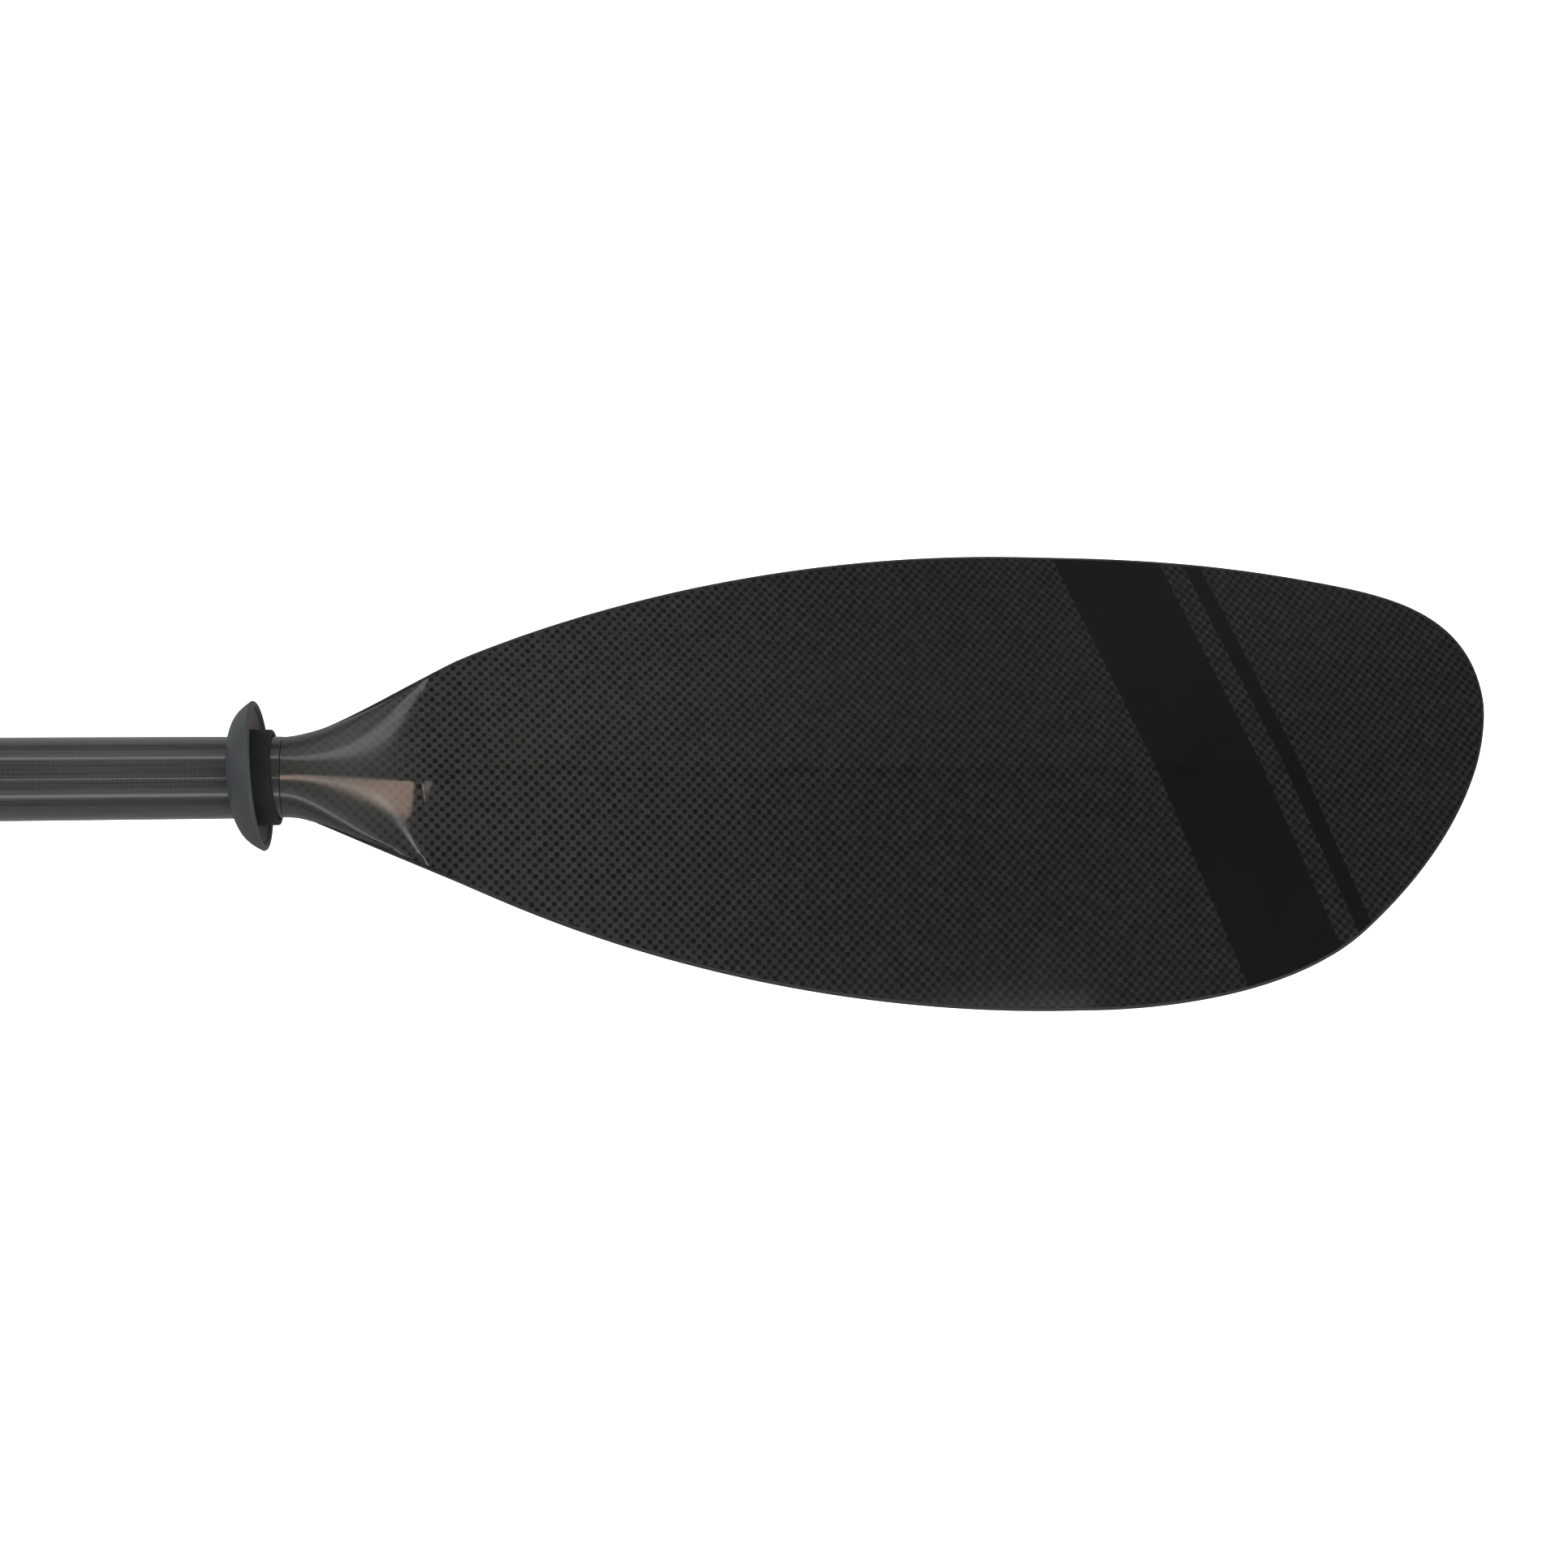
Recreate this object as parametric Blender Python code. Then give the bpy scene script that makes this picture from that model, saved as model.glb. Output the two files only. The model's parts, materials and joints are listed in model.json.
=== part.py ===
"""A take-apart kayak paddle: two carbon blades on carbon tubes, joined by a ferrule with a lever clamp.

The origin is on the shaft's axis at the middle of the paddle. X runs along the shaft, Y is across the
blades and Z points out of their power faces. Sizes are in millimetres and become metres in add_part().
"""

import math

import bmesh
import bpy
from mathutils import Vector

MM = 0.001
WELD = 1e-6

# Driving dimensions, in millimetres.
TOTAL_LENGTH = 2200.0
BLADE_LENGTH = 474.5
SHAFT_RADIUS = 14.6
SHAFT_WALL = 1.5
GAP = 0.3
ROUND_STEPS = 36
SMALL_STEPS = 20

ROOT_X = TOTAL_LENGTH / 2 - BLADE_LENGTH
SEAM_U = 1.2
SHAFT_BORE = SHAFT_RADIUS - SHAFT_WALL
SNUG_RADIUS = SHAFT_BORE - GAP
CUTTER_SPARE = 5.0

# Blade outline from its root (u = 0) round the tip and back, as cubic Bezier segments (u, v).
NECK_RADIUS = 14.4
OUTLINE = (
    ((0, NECK_RADIUS), (17, NECK_RADIUS), (43.5, 36), (75, 49.5)),
    ((75, 49.5), (80, 51.5), (166.5, 93.5), (285, 93.5)),
    ((285, 93.5), (338.5, 93.5), (374, 90), (417, 80.5)),
    ((417, 80.5), (443.5, 74.5), (BLADE_LENGTH, 65.5), (BLADE_LENGTH, 28.5)),
    ((BLADE_LENGTH, 28.5), (BLADE_LENGTH, 28), (BLADE_LENGTH, -16.5), (413.5, -64)),
    ((413.5, -64), (374, -94.5), (300, -90.5), (297, -90.5)),
    ((297, -90.5), (252.5, -90.5), (165, -84.5), (75, -45)),
    ((75, -45), (6, -15), (12, -NECK_RADIUS), (0, -NECK_RADIUS)),
)
CURVE_STEPS = 24
FAN_U = 400.0
TIP_COLUMNS = 16
NECK_STATIONS = (SEAM_U, 8, 17, 26, 31, 38, 45, 52, 60)
BODY_STATIONS = (75, 95, 120, 155, 190, 230, 270, 310, 345, 375, FAN_U)

# Blade surfaces.
FOLD_U = 50.0
FOLD_SPREAD = 0.2
RIDGE_LOW_U = 295.0
RIDGE_LOW_Z = -7.5
RIDGE_CURVE = 4200.0
RIDGE_ROUNDING = 5.0
EDGE_THICKNESS = 2.2
CENTRE_EXTRA = 2.0
SKIN = 0.7
NECK_WALL = 1.2
RIB_END_U = 190.0
RIB_DEPTH = 14.0
RIB_END_HALF_WIDTH = 5.0
RIM_WIDTH = 2.0
RIM_START_U = 31.0
RIM_RAMP_U = 26.0
CORE_START_U = 45.0
CORE_REACH = 0.85
CORE_GAP = 0.5
BLADE_ROWS = (0.0, 0.05, 0.15, 0.4, 0.8, 1.0)

# Spigot: a tube bonded in the shaft's end, with a smaller nose in the blade's neck.
SPIGOT_LENGTH = 60.0
SPIGOT_WALL = 2.0
NOSE_START_U = -1.0
NOSE_END_U = 12.0
NOSE_RADIUS = 10.2

# Drip ring: a stiff cup seated on a rubber collar, both leaning a little on the shaft.
RING_CENTRE_U = -15.0
RING_LEAN_Y = math.tan(math.radians(3.3))
RING_LEAN_Z = math.tan(math.radians(3.2))
CUP_RADIUS = 26.8
CUP_DEPTH = 8.9
CUP_WALL = 2.2
CUP_BORE = SHAFT_RADIUS + 0.5
CUP_FOOT_EDGE = 0.4
CUP_FLOOR = 2.4
CUP_BULGE = 1.1
CUP_BULGE_OUT = 0.8
CUP_STEPS = 3
LIP_HEIGHT = 0.7
LIP_INSET = 0.3
COLLAR_RADIUS = 17.1
COLLAR_BORE = SHAFT_RADIUS + GAP
COLLAR_PROUD = 6.0
COLLAR_FOOT = 2.3
COLLAR_FOOT_WALL = 0.6
COLLAR_TAPER = 2.2
COLLAR_EDGE = 1.2
RIM_PLANE_U = -7.1

# Ferrule joint at the middle.
MOUTH_X = -3.0
RIGHT_TUBE_X = 4.0
FERRULE_RADIUS = 12.0
FERRULE_BORE = 10.5
FERRULE_BOND = 86.0
FERRULE_REACH = 178.0
LINER_LENGTH = 40.0
BUSH_LENGTH = 20.0
BUSH_FLOOR = 2.0
BUSH_HOLE = 8.0
LINER_INSET = 1.0
SEAL_INSET = 1.0
PLUG_LENGTH = 30.0
PLUG_GAP = 8.0

# Lever clamp round the left tube's mouth; its screw runs along Z through two ears on the +Y side.
CLAMP_BACK_X = -34.0
CLAMP_FRONT_X = 2.0
CLAMP_RADIUS = 18.5
CLAMP_BORE = SHAFT_RADIUS + GAP
CLAMP_SLOT = 3.0
SLOT_START_Y = 5.0
EAR_END_Y = 30.0
EAR_HALF_HEIGHT = 8.0
EAR_HALF_LENGTH = 11.0
SCREW_X = -17.0
SCREW_Y = 24.0
SCREW_RADIUS = 2.0
PAD_Z = -19.5
PAD_HALF_WIDTH = 7.0
PAD_INSET = 7.0
PAD_TOP_Z = -1.0
SADDLE_THICKNESS = 1.0
SADDLE_HALF_WIDTH = 4.5
SADDLE_SPARE = 1.0
CAM_REACH = 4.0
CAM_OFFSET = 0.4
PIN_RADIUS = 2.2
LEVER_HALF_LENGTH = 8.0
FORK_SLOT = 6.0
FORK_DEPTH = 3.0
LEVER_INNER = 19.3
LEVER_OUTER = 22.3
LEVER_START = math.radians(62)
LEVER_END = math.radians(152)
NUT_RADIUS = 6.0
NUT_HEIGHT = 6.0
NUT_LOBES = 12
LOBE_DEPTH = 0.6
SCREW_TAIL = 2.0
PIVOT_Z = EAR_HALF_HEIGHT + GAP + SADDLE_THICKNESS + GAP + CAM_REACH

# Looks: colour, roughness and metallic value of each kind of piece.
CARBON = ((0.022, 0.023, 0.024), 0.25)
TUBE = ((0.05, 0.052, 0.054), 0.35)
BLACK_RESIN = ((0.012, 0.012, 0.013), 0.35)
FOAM = ((0.62, 0.60, 0.52), 0.9)
GREY_PLASTIC = ((0.075, 0.085, 0.09), 0.5)
RUBBER = ((0.02, 0.022, 0.025), 0.7)
BLACK_PLASTIC = ((0.015, 0.015, 0.016), 0.45)
NYLON = ((0.75, 0.74, 0.70), 0.5)
GLASS_TUBE = ((0.10, 0.10, 0.09), 0.4)
STEEL = ((0.55, 0.55, 0.56), 0.3, 1.0)
HELPER = ((0.5, 0.5, 0.5), 0.5)


def clear_scene():
    for obj in list(bpy.data.objects):
        bpy.data.objects.remove(obj, do_unlink=True)


def make_material(name, colour, roughness, metallic=0.0):
    """A plain Principled material."""
    material = bpy.data.materials.new(name)
    material.use_nodes = True
    shader = material.node_tree.nodes["Principled BSDF"]
    shader.inputs["Base Color"].default_value = (*colour, 1.0)
    shader.inputs["Roughness"].default_value = roughness
    shader.inputs["Metallic"].default_value = metallic
    return material


def add_empty(name, location, parent=None):
    """An empty at a place in millimetres, in its parent's frame."""
    empty = bpy.data.objects.new(name, None)
    bpy.context.scene.collection.objects.link(empty)
    empty.location = Vector(location) * MM
    empty.parent = parent
    return empty


def add_part(name, points, faces, look, parent=None, location=(0, 0, 0)):
    """One closed piece: its points are in millimetres from its own origin, which is at location."""
    mesh = bpy.data.meshes.new(name)
    shape = bmesh.new()
    corners = [shape.verts.new(Vector(point) * MM) for point in points]
    for face in faces:
        shape.faces.new([corners[i] for i in face])
    bmesh.ops.remove_doubles(shape, verts=shape.verts, dist=WELD)
    bmesh.ops.recalc_face_normals(shape, faces=shape.faces)
    shape.to_mesh(mesh)
    shape.free()
    mesh.shade_smooth()
    mesh.set_sharp_from_angle(angle=math.radians(30))
    mesh.materials.append(make_material(name, *look))
    obj = bpy.data.objects.new(name, mesh)
    bpy.context.scene.collection.objects.link(obj)
    obj.parent = parent
    obj.location = Vector(location) * MM
    return obj


def turned(profile):
    """Points and faces of a closed half section (x, radius) turned round X."""
    points = []
    for i in range(ROUND_STEPS):
        angle = 2 * math.pi * i / ROUND_STEPS
        points += [(x, r * math.cos(angle), r * math.sin(angle)) for x, r in profile]
    count = len(profile)
    faces = []
    for i in range(ROUND_STEPS):
        here = i * count
        there = (i + 1) % ROUND_STEPS * count
        for j in range(count):
            k = (j + 1) % count
            faces.append((here + j, here + k, there + k, there + j))
    return points, faces


def add_turned(name, profile, look, parent=None):
    points, faces = turned(profile)
    return add_part(name, points, faces, look, parent)


def tube_profile(start, end, outer, inner):
    return [(start, outer), (end, outer), (end, inner), (start, inner)]


def prism(outline, start, end):
    """Points and faces of an outline (y, z) drawn out along X from start to end."""
    count = len(outline)
    points = [(x, y, z) for x in (start, end) for y, z in outline]
    faces = [list(range(count)), list(range(count, 2 * count))]
    faces += [[i, (i + 1) % count, count + (i + 1) % count, count + i] for i in range(count)]
    return points, faces


def add_box(name, low, high, look=HELPER, parent=None):
    """A box from its lowest to its highest corner."""
    outline = [(low[1], low[2]), (high[1], low[2]), (high[1], high[2]), (low[1], high[2])]
    return add_part(name, *prism(outline, low[0], high[0]), look, parent)


def add_rod(name, start, end, radius, look=HELPER, parent=None, steps=SMALL_STEPS):
    """A round bar from one place to another, with its origin at the first."""
    axis = Vector(end) - Vector(start)
    turns = [2 * math.pi * (i + 0.5) / steps for i in range(steps)]
    outline = [(radius * math.cos(turn), radius * math.sin(turn)) for turn in turns]
    rod = add_part(name, *prism(outline, 0, axis.length), look, parent, start)
    rod.rotation_mode = "QUATERNION"
    rod.rotation_quaternion = Vector((1, 0, 0)).rotation_difference(axis)
    return rod


def combine(obj, operation, tools):
    """Joins tools to obj, or cuts them out of it. The tools stay as hidden helpers."""
    for tool in tools:
        tool.hide_render = True
        tool.display_type = "WIRE"
        boolean = obj.modifiers.new(f"{operation} {tool.name}", "BOOLEAN")
        boolean.operation = operation
        boolean.object = tool
        boolean.solver = "EXACT"


def bezier(segment, t):
    a, b, c, d = (Vector(point) for point in segment)
    s = 1 - t
    return a * s**3 + b * (3 * s * s * t) + c * (3 * s * t * t) + d * t**3


def outline_curve():
    """The blade's outline as closely spaced points, from the neck's +Y side to its -Y side."""
    points = [Vector(OUTLINE[0][0])]
    for segment in OUTLINE:
        points += [bezier(segment, (i + 1) / CURVE_STEPS) for i in range(CURVE_STEPS)]
    return points


CURVE = outline_curve()
TIP_INDEX = max(range(len(CURVE)), key=lambda i: CURVE[i].x)


def point_at(curve, u):
    """Where one side of the outline, ordered by u, crosses the station u."""
    for a, b in zip(curve, curve[1:]):
        if a.x <= u <= b.x:
            return Vector((u, a.y + (b.y - a.y) * (u - a.x) / (b.x - a.x)))
    return curve[0].copy()


UPPER = CURVE[:TIP_INDEX]
LOWER = CURVE[:TIP_INDEX:-1]


def tip_points():
    """Evenly spaced points round the tip, between the two sides' crossings of the last station."""
    upper, lower = point_at(UPPER, FAN_U), point_at(LOWER, FAN_U)
    stretch = [upper] + [point for point in CURVE if point.x > FAN_U] + [lower]
    lengths = [0.0]
    for a, b in zip(stretch, stretch[1:]):
        lengths.append(lengths[-1] + (b - a).length)
    points = []
    for i in range(1, TIP_COLUMNS):
        wanted = lengths[-1] * i / TIP_COLUMNS
        j = next(k for k in range(1, len(lengths)) if lengths[k] >= wanted)
        share = (wanted - lengths[j - 1]) / (lengths[j] - lengths[j - 1])
        points.append(stretch[j - 1].lerp(stretch[j], share))
    return points


def inward(points, i):
    """Unit normal towards the inside of the outline at its i-th point."""
    along = points[min(i + 1, len(points) - 1)] - points[max(i - 1, 0)]
    return Vector((along.y, -along.x)).normalized()


def columns():
    """Each column of the blade's mesh: its point on the middle line, its edge point and inward normal."""
    stations = NECK_STATIONS + BODY_STATIONS
    upper = [point_at(UPPER, u) for u in stations]
    lower = [point_at(LOWER, u) for u in stations]
    edge = upper + tip_points() + lower[::-1]
    found = []
    for i, point in enumerate(edge):
        normal = inward(edge, i)
        if point.x < RIM_RAMP_U:
            normal = Vector((0, -math.copysign(1, point.y)))
        found.append((Vector((min(point.x, FAN_U), 0)), point, normal))
    return found


COLUMNS = columns()


def neck_share(u):
    """0 at the root, where the section is round, to 1 at the fold, where the plate begins."""
    run = u / FOLD_U
    near_fold = max(FOLD_SPREAD - abs(run - 1), 0) / FOLD_SPREAD
    return min(run, 1) - near_fold**2 * FOLD_SPREAD / 4


def dihedral(u):
    """Fall of the power face away from its ridge, in mm per mm."""
    steep, even, flat = 0.16, 0.09, 0.03
    if u < 150:
        return steep + (even - steep) * max(u - FOLD_U, 0) / (150 - FOLD_U)
    if u < 300:
        return even
    return even + (flat - even) * (u - 300) / (BLADE_LENGTH - 300)


def plate_top(u, v):
    """Height of the power face beyond the fold."""
    ridge = RIDGE_LOW_Z + (u - RIDGE_LOW_U) ** 2 / RIDGE_CURVE
    return ridge - dihedral(u) * (math.hypot(v, RIDGE_ROUNDING) - RIDGE_ROUNDING)


def plate_bottom(u, v, rho):
    """Height of the back face beyond the fold, with the rib that runs out of the neck."""
    rib = 0.0
    if u < RIB_END_U:
        run = (u - FOLD_U) / (RIB_END_U - FOLD_U)
        half_width = NECK_RADIUS + (RIB_END_HALF_WIDTH - NECK_RADIUS) * run
        crown = max(1 - (v / half_width) ** 2, 0) ** 1.5
        rib = RIB_DEPTH * (1 - run) ** 1.5 * crown
    return plate_top(u, v) - EDGE_THICKNESS - CENTRE_EXTRA * (1 - rho**4) - rib


def surface_point(column, rho, face, depth):
    """A point of the blade: face is +1 for the power side, -1 for the back, depth 0 outside to 1 inside."""
    middle, edge, normal = column
    share = neck_share(edge.x)
    inset = (RIM_WIDTH + GAP) * min(max((edge.x - RIM_RAMP_U) / (RIM_START_U - RIM_RAMP_U), 0), 1)
    inset += NECK_WALL * (1 - share) * depth
    place = middle.lerp(edge + normal * inset, rho)
    plan_u = max(place.x, FOLD_U)
    plan_v = place.y
    if edge.x < FOLD_U:
        side = UPPER if edge.y > 0 else LOWER
        plan_v = rho * point_at(side, FOLD_U).y
    radius = NECK_RADIUS - NECK_WALL * depth
    arc = radius * math.sqrt(max(1 - rho * rho, 0)) + GAP / 2
    plate = plate_top(plan_u, plan_v) if face > 0 else plate_bottom(plan_u, plan_v, rho)
    height = (1 - share) * arc * face + share * (plate - face * SKIN * depth)
    return place.x, place.y, height


def row_positions(u, last=1.0):
    """How far out each row lies: evenly round the tube at the neck, crowded at the ridge on the blade."""
    share = neck_share(u)
    count = len(BLADE_ROWS) - 1
    rows = []
    for i, blade_row in enumerate(BLADE_ROWS):
        neck_row = math.sin(math.pi / 2 * i / count)
        rows.append((1 - share) * neck_row + share * blade_row)
    rows[-1] = last
    return rows


def shell(upper, lower, used, last=1.0):
    """Points and faces of the body between two blade surfaces, over the columns from used on."""
    points, faces = [], []
    count = len(BLADE_ROWS)
    for column in used:
        rows = row_positions(column[1].x, last)
        points += [upper(column, rho) for rho in rows]
        points += [lower(column, rho) for rho in rows]

    def index(i, row, layer):
        return (2 * i + layer) * count + row

    for i in range(len(used) - 1):
        for row in range(count - 1):
            for layer in (0, 1):
                faces.append([index(i, row, layer), index(i, row + 1, layer),
                              index(i + 1, row + 1, layer), index(i + 1, row, layer)])
        faces.append([index(i, count - 1, 0), index(i, count - 1, 1),
                      index(i + 1, count - 1, 1), index(i + 1, count - 1, 0)])
    for i in (0, len(used) - 1):
        for row in range(count - 1):
            faces.append([index(i, row, 0), index(i, row + 1, 0), index(i, row + 1, 1), index(i, row, 1)])
    return points, faces


def welded(points, faces):
    """The same faces on shared points, without those that collapse where the columns meet."""
    places = {}
    index = [places.setdefault(tuple(round(c, 4) for c in point), len(places)) for point in points]
    kept = []
    for face in faces:
        corners = list(dict.fromkeys(index[i] for i in face))
        if len(corners) > 2:
            kept.append(corners)
    return list(places), kept


def on_side(points, side):
    """Blade points moved to their own end of the paddle; the left blade is the right one's mirror image."""
    return [(side * x, y, z) for x, y, z in points]


def add_blade_piece(name, mesh, look, parent, side):
    points, faces = welded(*mesh)
    return add_part(name, on_side(points, side), faces, look, parent)


def skin_mesh(face):
    """The outer laminate of one face, from the neck to the rim."""
    return shell(
        lambda column, rho: surface_point(column, rho, face, 0.0),
        lambda column, rho: surface_point(column, rho, face, 1.0),
        COLUMNS,
    )


def core_mesh():
    """The foam between the two skins, a gap clear of each."""
    used = [column for column in COLUMNS if column[1].x >= CORE_START_U]

    def layer(face):
        def point(column, rho):
            x, y, z = surface_point(column, rho, face, 1.0)
            return x, y, z - face * CORE_GAP
        return point

    return shell(layer(1), layer(-1), used, CORE_REACH)


def rim_mesh():
    """The strip moulded round the blade's edge, with its outer corners taken off."""
    section = ((0.0, 0.28), (0.3, 0.0), (1.0, 0.0), (1.0, 1.0), (0.3, 1.0), (0.0, 0.72))
    used = [column for column in COLUMNS if column[1].x >= RIM_START_U]
    points = []
    for column in used:
        top = surface_point(column, 1.0, 1, 0.0)[2]
        bottom = surface_point(column, 1.0, -1, 0.0)[2]
        for inset, fall in section:
            place = column[1] + column[2] * (inset * RIM_WIDTH)
            points.append((place.x, place.y, top + (bottom - top) * fall))
    count = len(section)
    faces = [list(range(count)), list(range(len(points) - count, len(points)))]
    for i in range(len(used) - 1):
        for j in range(count):
            k = (j + 1) % count
            faces.append([i * count + j, i * count + k, (i + 1) * count + k, (i + 1) * count + j])
    return points, faces


def add_blade(prefix, side, half):
    """A foam-cored blade on the spigot that is bonded into its tube."""
    root = add_empty(f"{prefix}_root", (side * ROOT_X, 0, 0), half)
    add_blade_piece(f"{prefix}_blade_power_skin", skin_mesh(1), CARBON, root, side)
    add_blade_piece(f"{prefix}_blade_back_skin", skin_mesh(-1), CARBON, root, side)
    add_blade_piece(f"{prefix}_blade_foam_core", core_mesh(), FOAM, root, side)
    add_blade_piece(f"{prefix}_blade_edge_rim", rim_mesh(), BLACK_RESIN, root, side)
    bore = SNUG_RADIUS - SPIGOT_WALL
    profile = [(-SPIGOT_LENGTH, bore), (-SPIGOT_LENGTH, SNUG_RADIUS), (NOSE_START_U, SNUG_RADIUS),
               (NOSE_END_U, NOSE_RADIUS), (NOSE_END_U, NOSE_RADIUS - SPIGOT_WALL), (NOSE_START_U, bore)]
    profile = [(side * u, r) for u, r in profile]
    add_turned(f"{prefix}_neck_spigot", profile, GLASS_TUBE, root)


def add_shaft_tube(prefix, side, half):
    """A carbon tube from the ferrule joint to the blade's neck, with a foam plug that keeps water out."""
    start = RIGHT_TUBE_X if side > 0 else -MOUTH_X
    profile = tube_profile(side * start, side * (ROOT_X + SEAM_U - GAP), SHAFT_RADIUS, SHAFT_BORE)
    add_turned(f"{prefix}_shaft_tube", profile, TUBE, half)
    plug_end = ROOT_X - SPIGOT_LENGTH - PLUG_GAP
    add_rod(f"{prefix}_shaft_plug", (side * (plug_end - PLUG_LENGTH), 0, 0), (side * plug_end, 0, 0),
            SNUG_RADIUS, FOAM, half, ROUND_STEPS)


def ring_collar_profile():
    """Half section of the rubber collar from the cup's floor to its free end, with rounded corners."""
    floor = RING_CENTRE_U + COLLAR_FOOT
    end = RIM_PLANE_U + COLLAR_PROUD
    corner = []
    for angle in (0, math.pi / 4, math.pi / 2):
        along = end - COLLAR_EDGE + COLLAR_EDGE * math.sin(angle)
        corner.append((along, COLLAR_RADIUS - COLLAR_EDGE + COLLAR_EDGE * math.cos(angle)))
    foot = [(floor, COLLAR_BORE), (floor, COLLAR_BORE + COLLAR_FOOT_WALL)]
    return [*foot, (floor + COLLAR_TAPER, COLLAR_RADIUS), *corner, (end, COLLAR_BORE)]


def cup_wall_point(foot, foot_radius, rim, rim_radius, t, swell):
    """A point t of the way up the cup's wall, swollen backwards and outwards from the straight cone."""
    radius = foot_radius + (rim_radius - foot_radius) * t
    return foot + (rim - foot) * t - swell, radius + swell * CUP_BULGE_OUT


def ring_cup_profile():
    """Half section of the cup about its own centre: a domed cone with a rounded lip."""
    rim = RIM_PLANE_U - RING_CENTRE_U
    foot = rim - CUP_DEPTH
    floor = foot + CUP_FLOOR
    foot_radius = CUP_BORE + CUP_FOOT_EDGE
    floor_radius = CUP_BORE + 2 * CUP_FOOT_EDGE
    outside, inside = [], []
    for i in range(CUP_STEPS + 1):
        t = i / CUP_STEPS
        swell = CUP_BULGE * math.sin(math.pi * t)
        outside.append(cup_wall_point(foot, foot_radius, rim, CUP_RADIUS, t, swell))
        inside.insert(0, cup_wall_point(floor, floor_radius, rim, CUP_RADIUS - CUP_WALL, t, swell))
    lip = [(rim + LIP_HEIGHT, CUP_RADIUS - CUP_WALL * share) for share in (LIP_INSET, 1 - LIP_INSET)]
    return [*outside, *lip, *inside, (floor, CUP_BORE), (foot, CUP_BORE)]


def add_drip_ring(prefix, side, half):
    """The ring that stops drips. It grips the shaft by its collar, and its open side faces the blade."""
    centre = add_empty(f"{prefix}_ring_centre", (side * (ROOT_X + RING_CENTRE_U), 0, 0), half)
    profile = [(side * (u - RING_CENTRE_U), r) for u, r in ring_collar_profile()]
    points, faces = turned(profile)
    leaning = [(x - side * (RING_LEAN_Y * y + RING_LEAN_Z * z), y, z) for x, y, z in points]
    add_part(f"{prefix}_ring_collar", leaning, faces, RUBBER, centre)
    profile = [(side * along, r) for along, r in ring_cup_profile()]
    cup = add_turned(f"{prefix}_ring_cup", profile, GREY_PLASTIC, centre)
    cup.rotation_mode = "QUATERNION"
    axis = Vector((side, RING_LEAN_Y, RING_LEAN_Z))
    cup.rotation_quaternion = Vector((side, 0, 0)).rotation_difference(axis)


def add_ferrule(left_half, right_half):
    """The inner tube bonded in the right half, and what guides it in the left half."""
    profile = [(-FERRULE_REACH, FERRULE_RADIUS), (RIGHT_TUBE_X - GAP, FERRULE_RADIUS),
               (RIGHT_TUBE_X - GAP, SNUG_RADIUS), (RIGHT_TUBE_X + FERRULE_BOND, SNUG_RADIUS),
               (RIGHT_TUBE_X + FERRULE_BOND, FERRULE_BORE), (-FERRULE_REACH, FERRULE_BORE)]
    add_turned("ferrule_tube", profile, GLASS_TUBE, right_half)
    liner_end = MOUTH_X - LINER_INSET
    liner = tube_profile(liner_end - LINER_LENGTH, liner_end, SNUG_RADIUS, FERRULE_RADIUS + GAP)
    add_turned("ferrule_liner", liner, NYLON, left_half)
    seal_end = CLAMP_FRONT_X - SEAL_INSET
    seal = tube_profile(MOUTH_X + GAP, seal_end, SHAFT_RADIUS, FERRULE_RADIUS + GAP)
    add_turned("wiper_seal", seal, RUBBER, left_half)
    back = -FERRULE_REACH - GAP - BUSH_FLOOR
    floor = back + BUSH_FLOOR
    bush = [(back, SNUG_RADIUS), (back + BUSH_LENGTH, SNUG_RADIUS),
            (back + BUSH_LENGTH, FERRULE_RADIUS + GAP), (floor, FERRULE_RADIUS + GAP),
            (floor, BUSH_HOLE), (back, BUSH_HOLE)]
    add_turned("guide_bush", bush, NYLON)


def add_clamp_body(clamp):
    """A split plastic collar with two ears for the screw and a flat pad underneath."""
    body = add_rod("clamp_body", (CLAMP_BACK_X, 0, 0), (CLAMP_FRONT_X, 0, 0), CLAMP_RADIUS,
                   BLACK_PLASTIC, clamp, ROUND_STEPS)
    ears = add_box("ears", (SCREW_X - EAR_HALF_LENGTH, 0, -EAR_HALF_HEIGHT),
                   (SCREW_X + EAR_HALF_LENGTH, EAR_END_Y, EAR_HALF_HEIGHT), parent=clamp)
    pad = add_box("pad", (CLAMP_BACK_X + PAD_INSET, -PAD_HALF_WIDTH, PAD_Z),
                  (CLAMP_FRONT_X - PAD_INSET, PAD_HALF_WIDTH, PAD_TOP_Z), parent=clamp)
    back, front = CLAMP_BACK_X - CUTTER_SPARE, CLAMP_FRONT_X + CUTTER_SPARE
    bore = add_rod("clamp_bore", (back, 0, 0), (front, 0, 0), CLAMP_BORE, parent=clamp, steps=ROUND_STEPS)
    slot = add_box("clamp_slot", (back, SLOT_START_Y, -CLAMP_SLOT / 2),
                   (front, EAR_END_Y + CUTTER_SPARE, CLAMP_SLOT / 2), parent=clamp)
    hole_end = EAR_HALF_HEIGHT + CUTTER_SPARE
    hole = add_rod("ear_hole", (SCREW_X, SCREW_Y, -hole_end), (SCREW_X, SCREW_Y, hole_end),
                   SCREW_RADIUS + GAP, parent=clamp)
    combine(body, "UNION", [ears, pad])
    combine(body, "DIFFERENCE", [bore, slot, hole])


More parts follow.
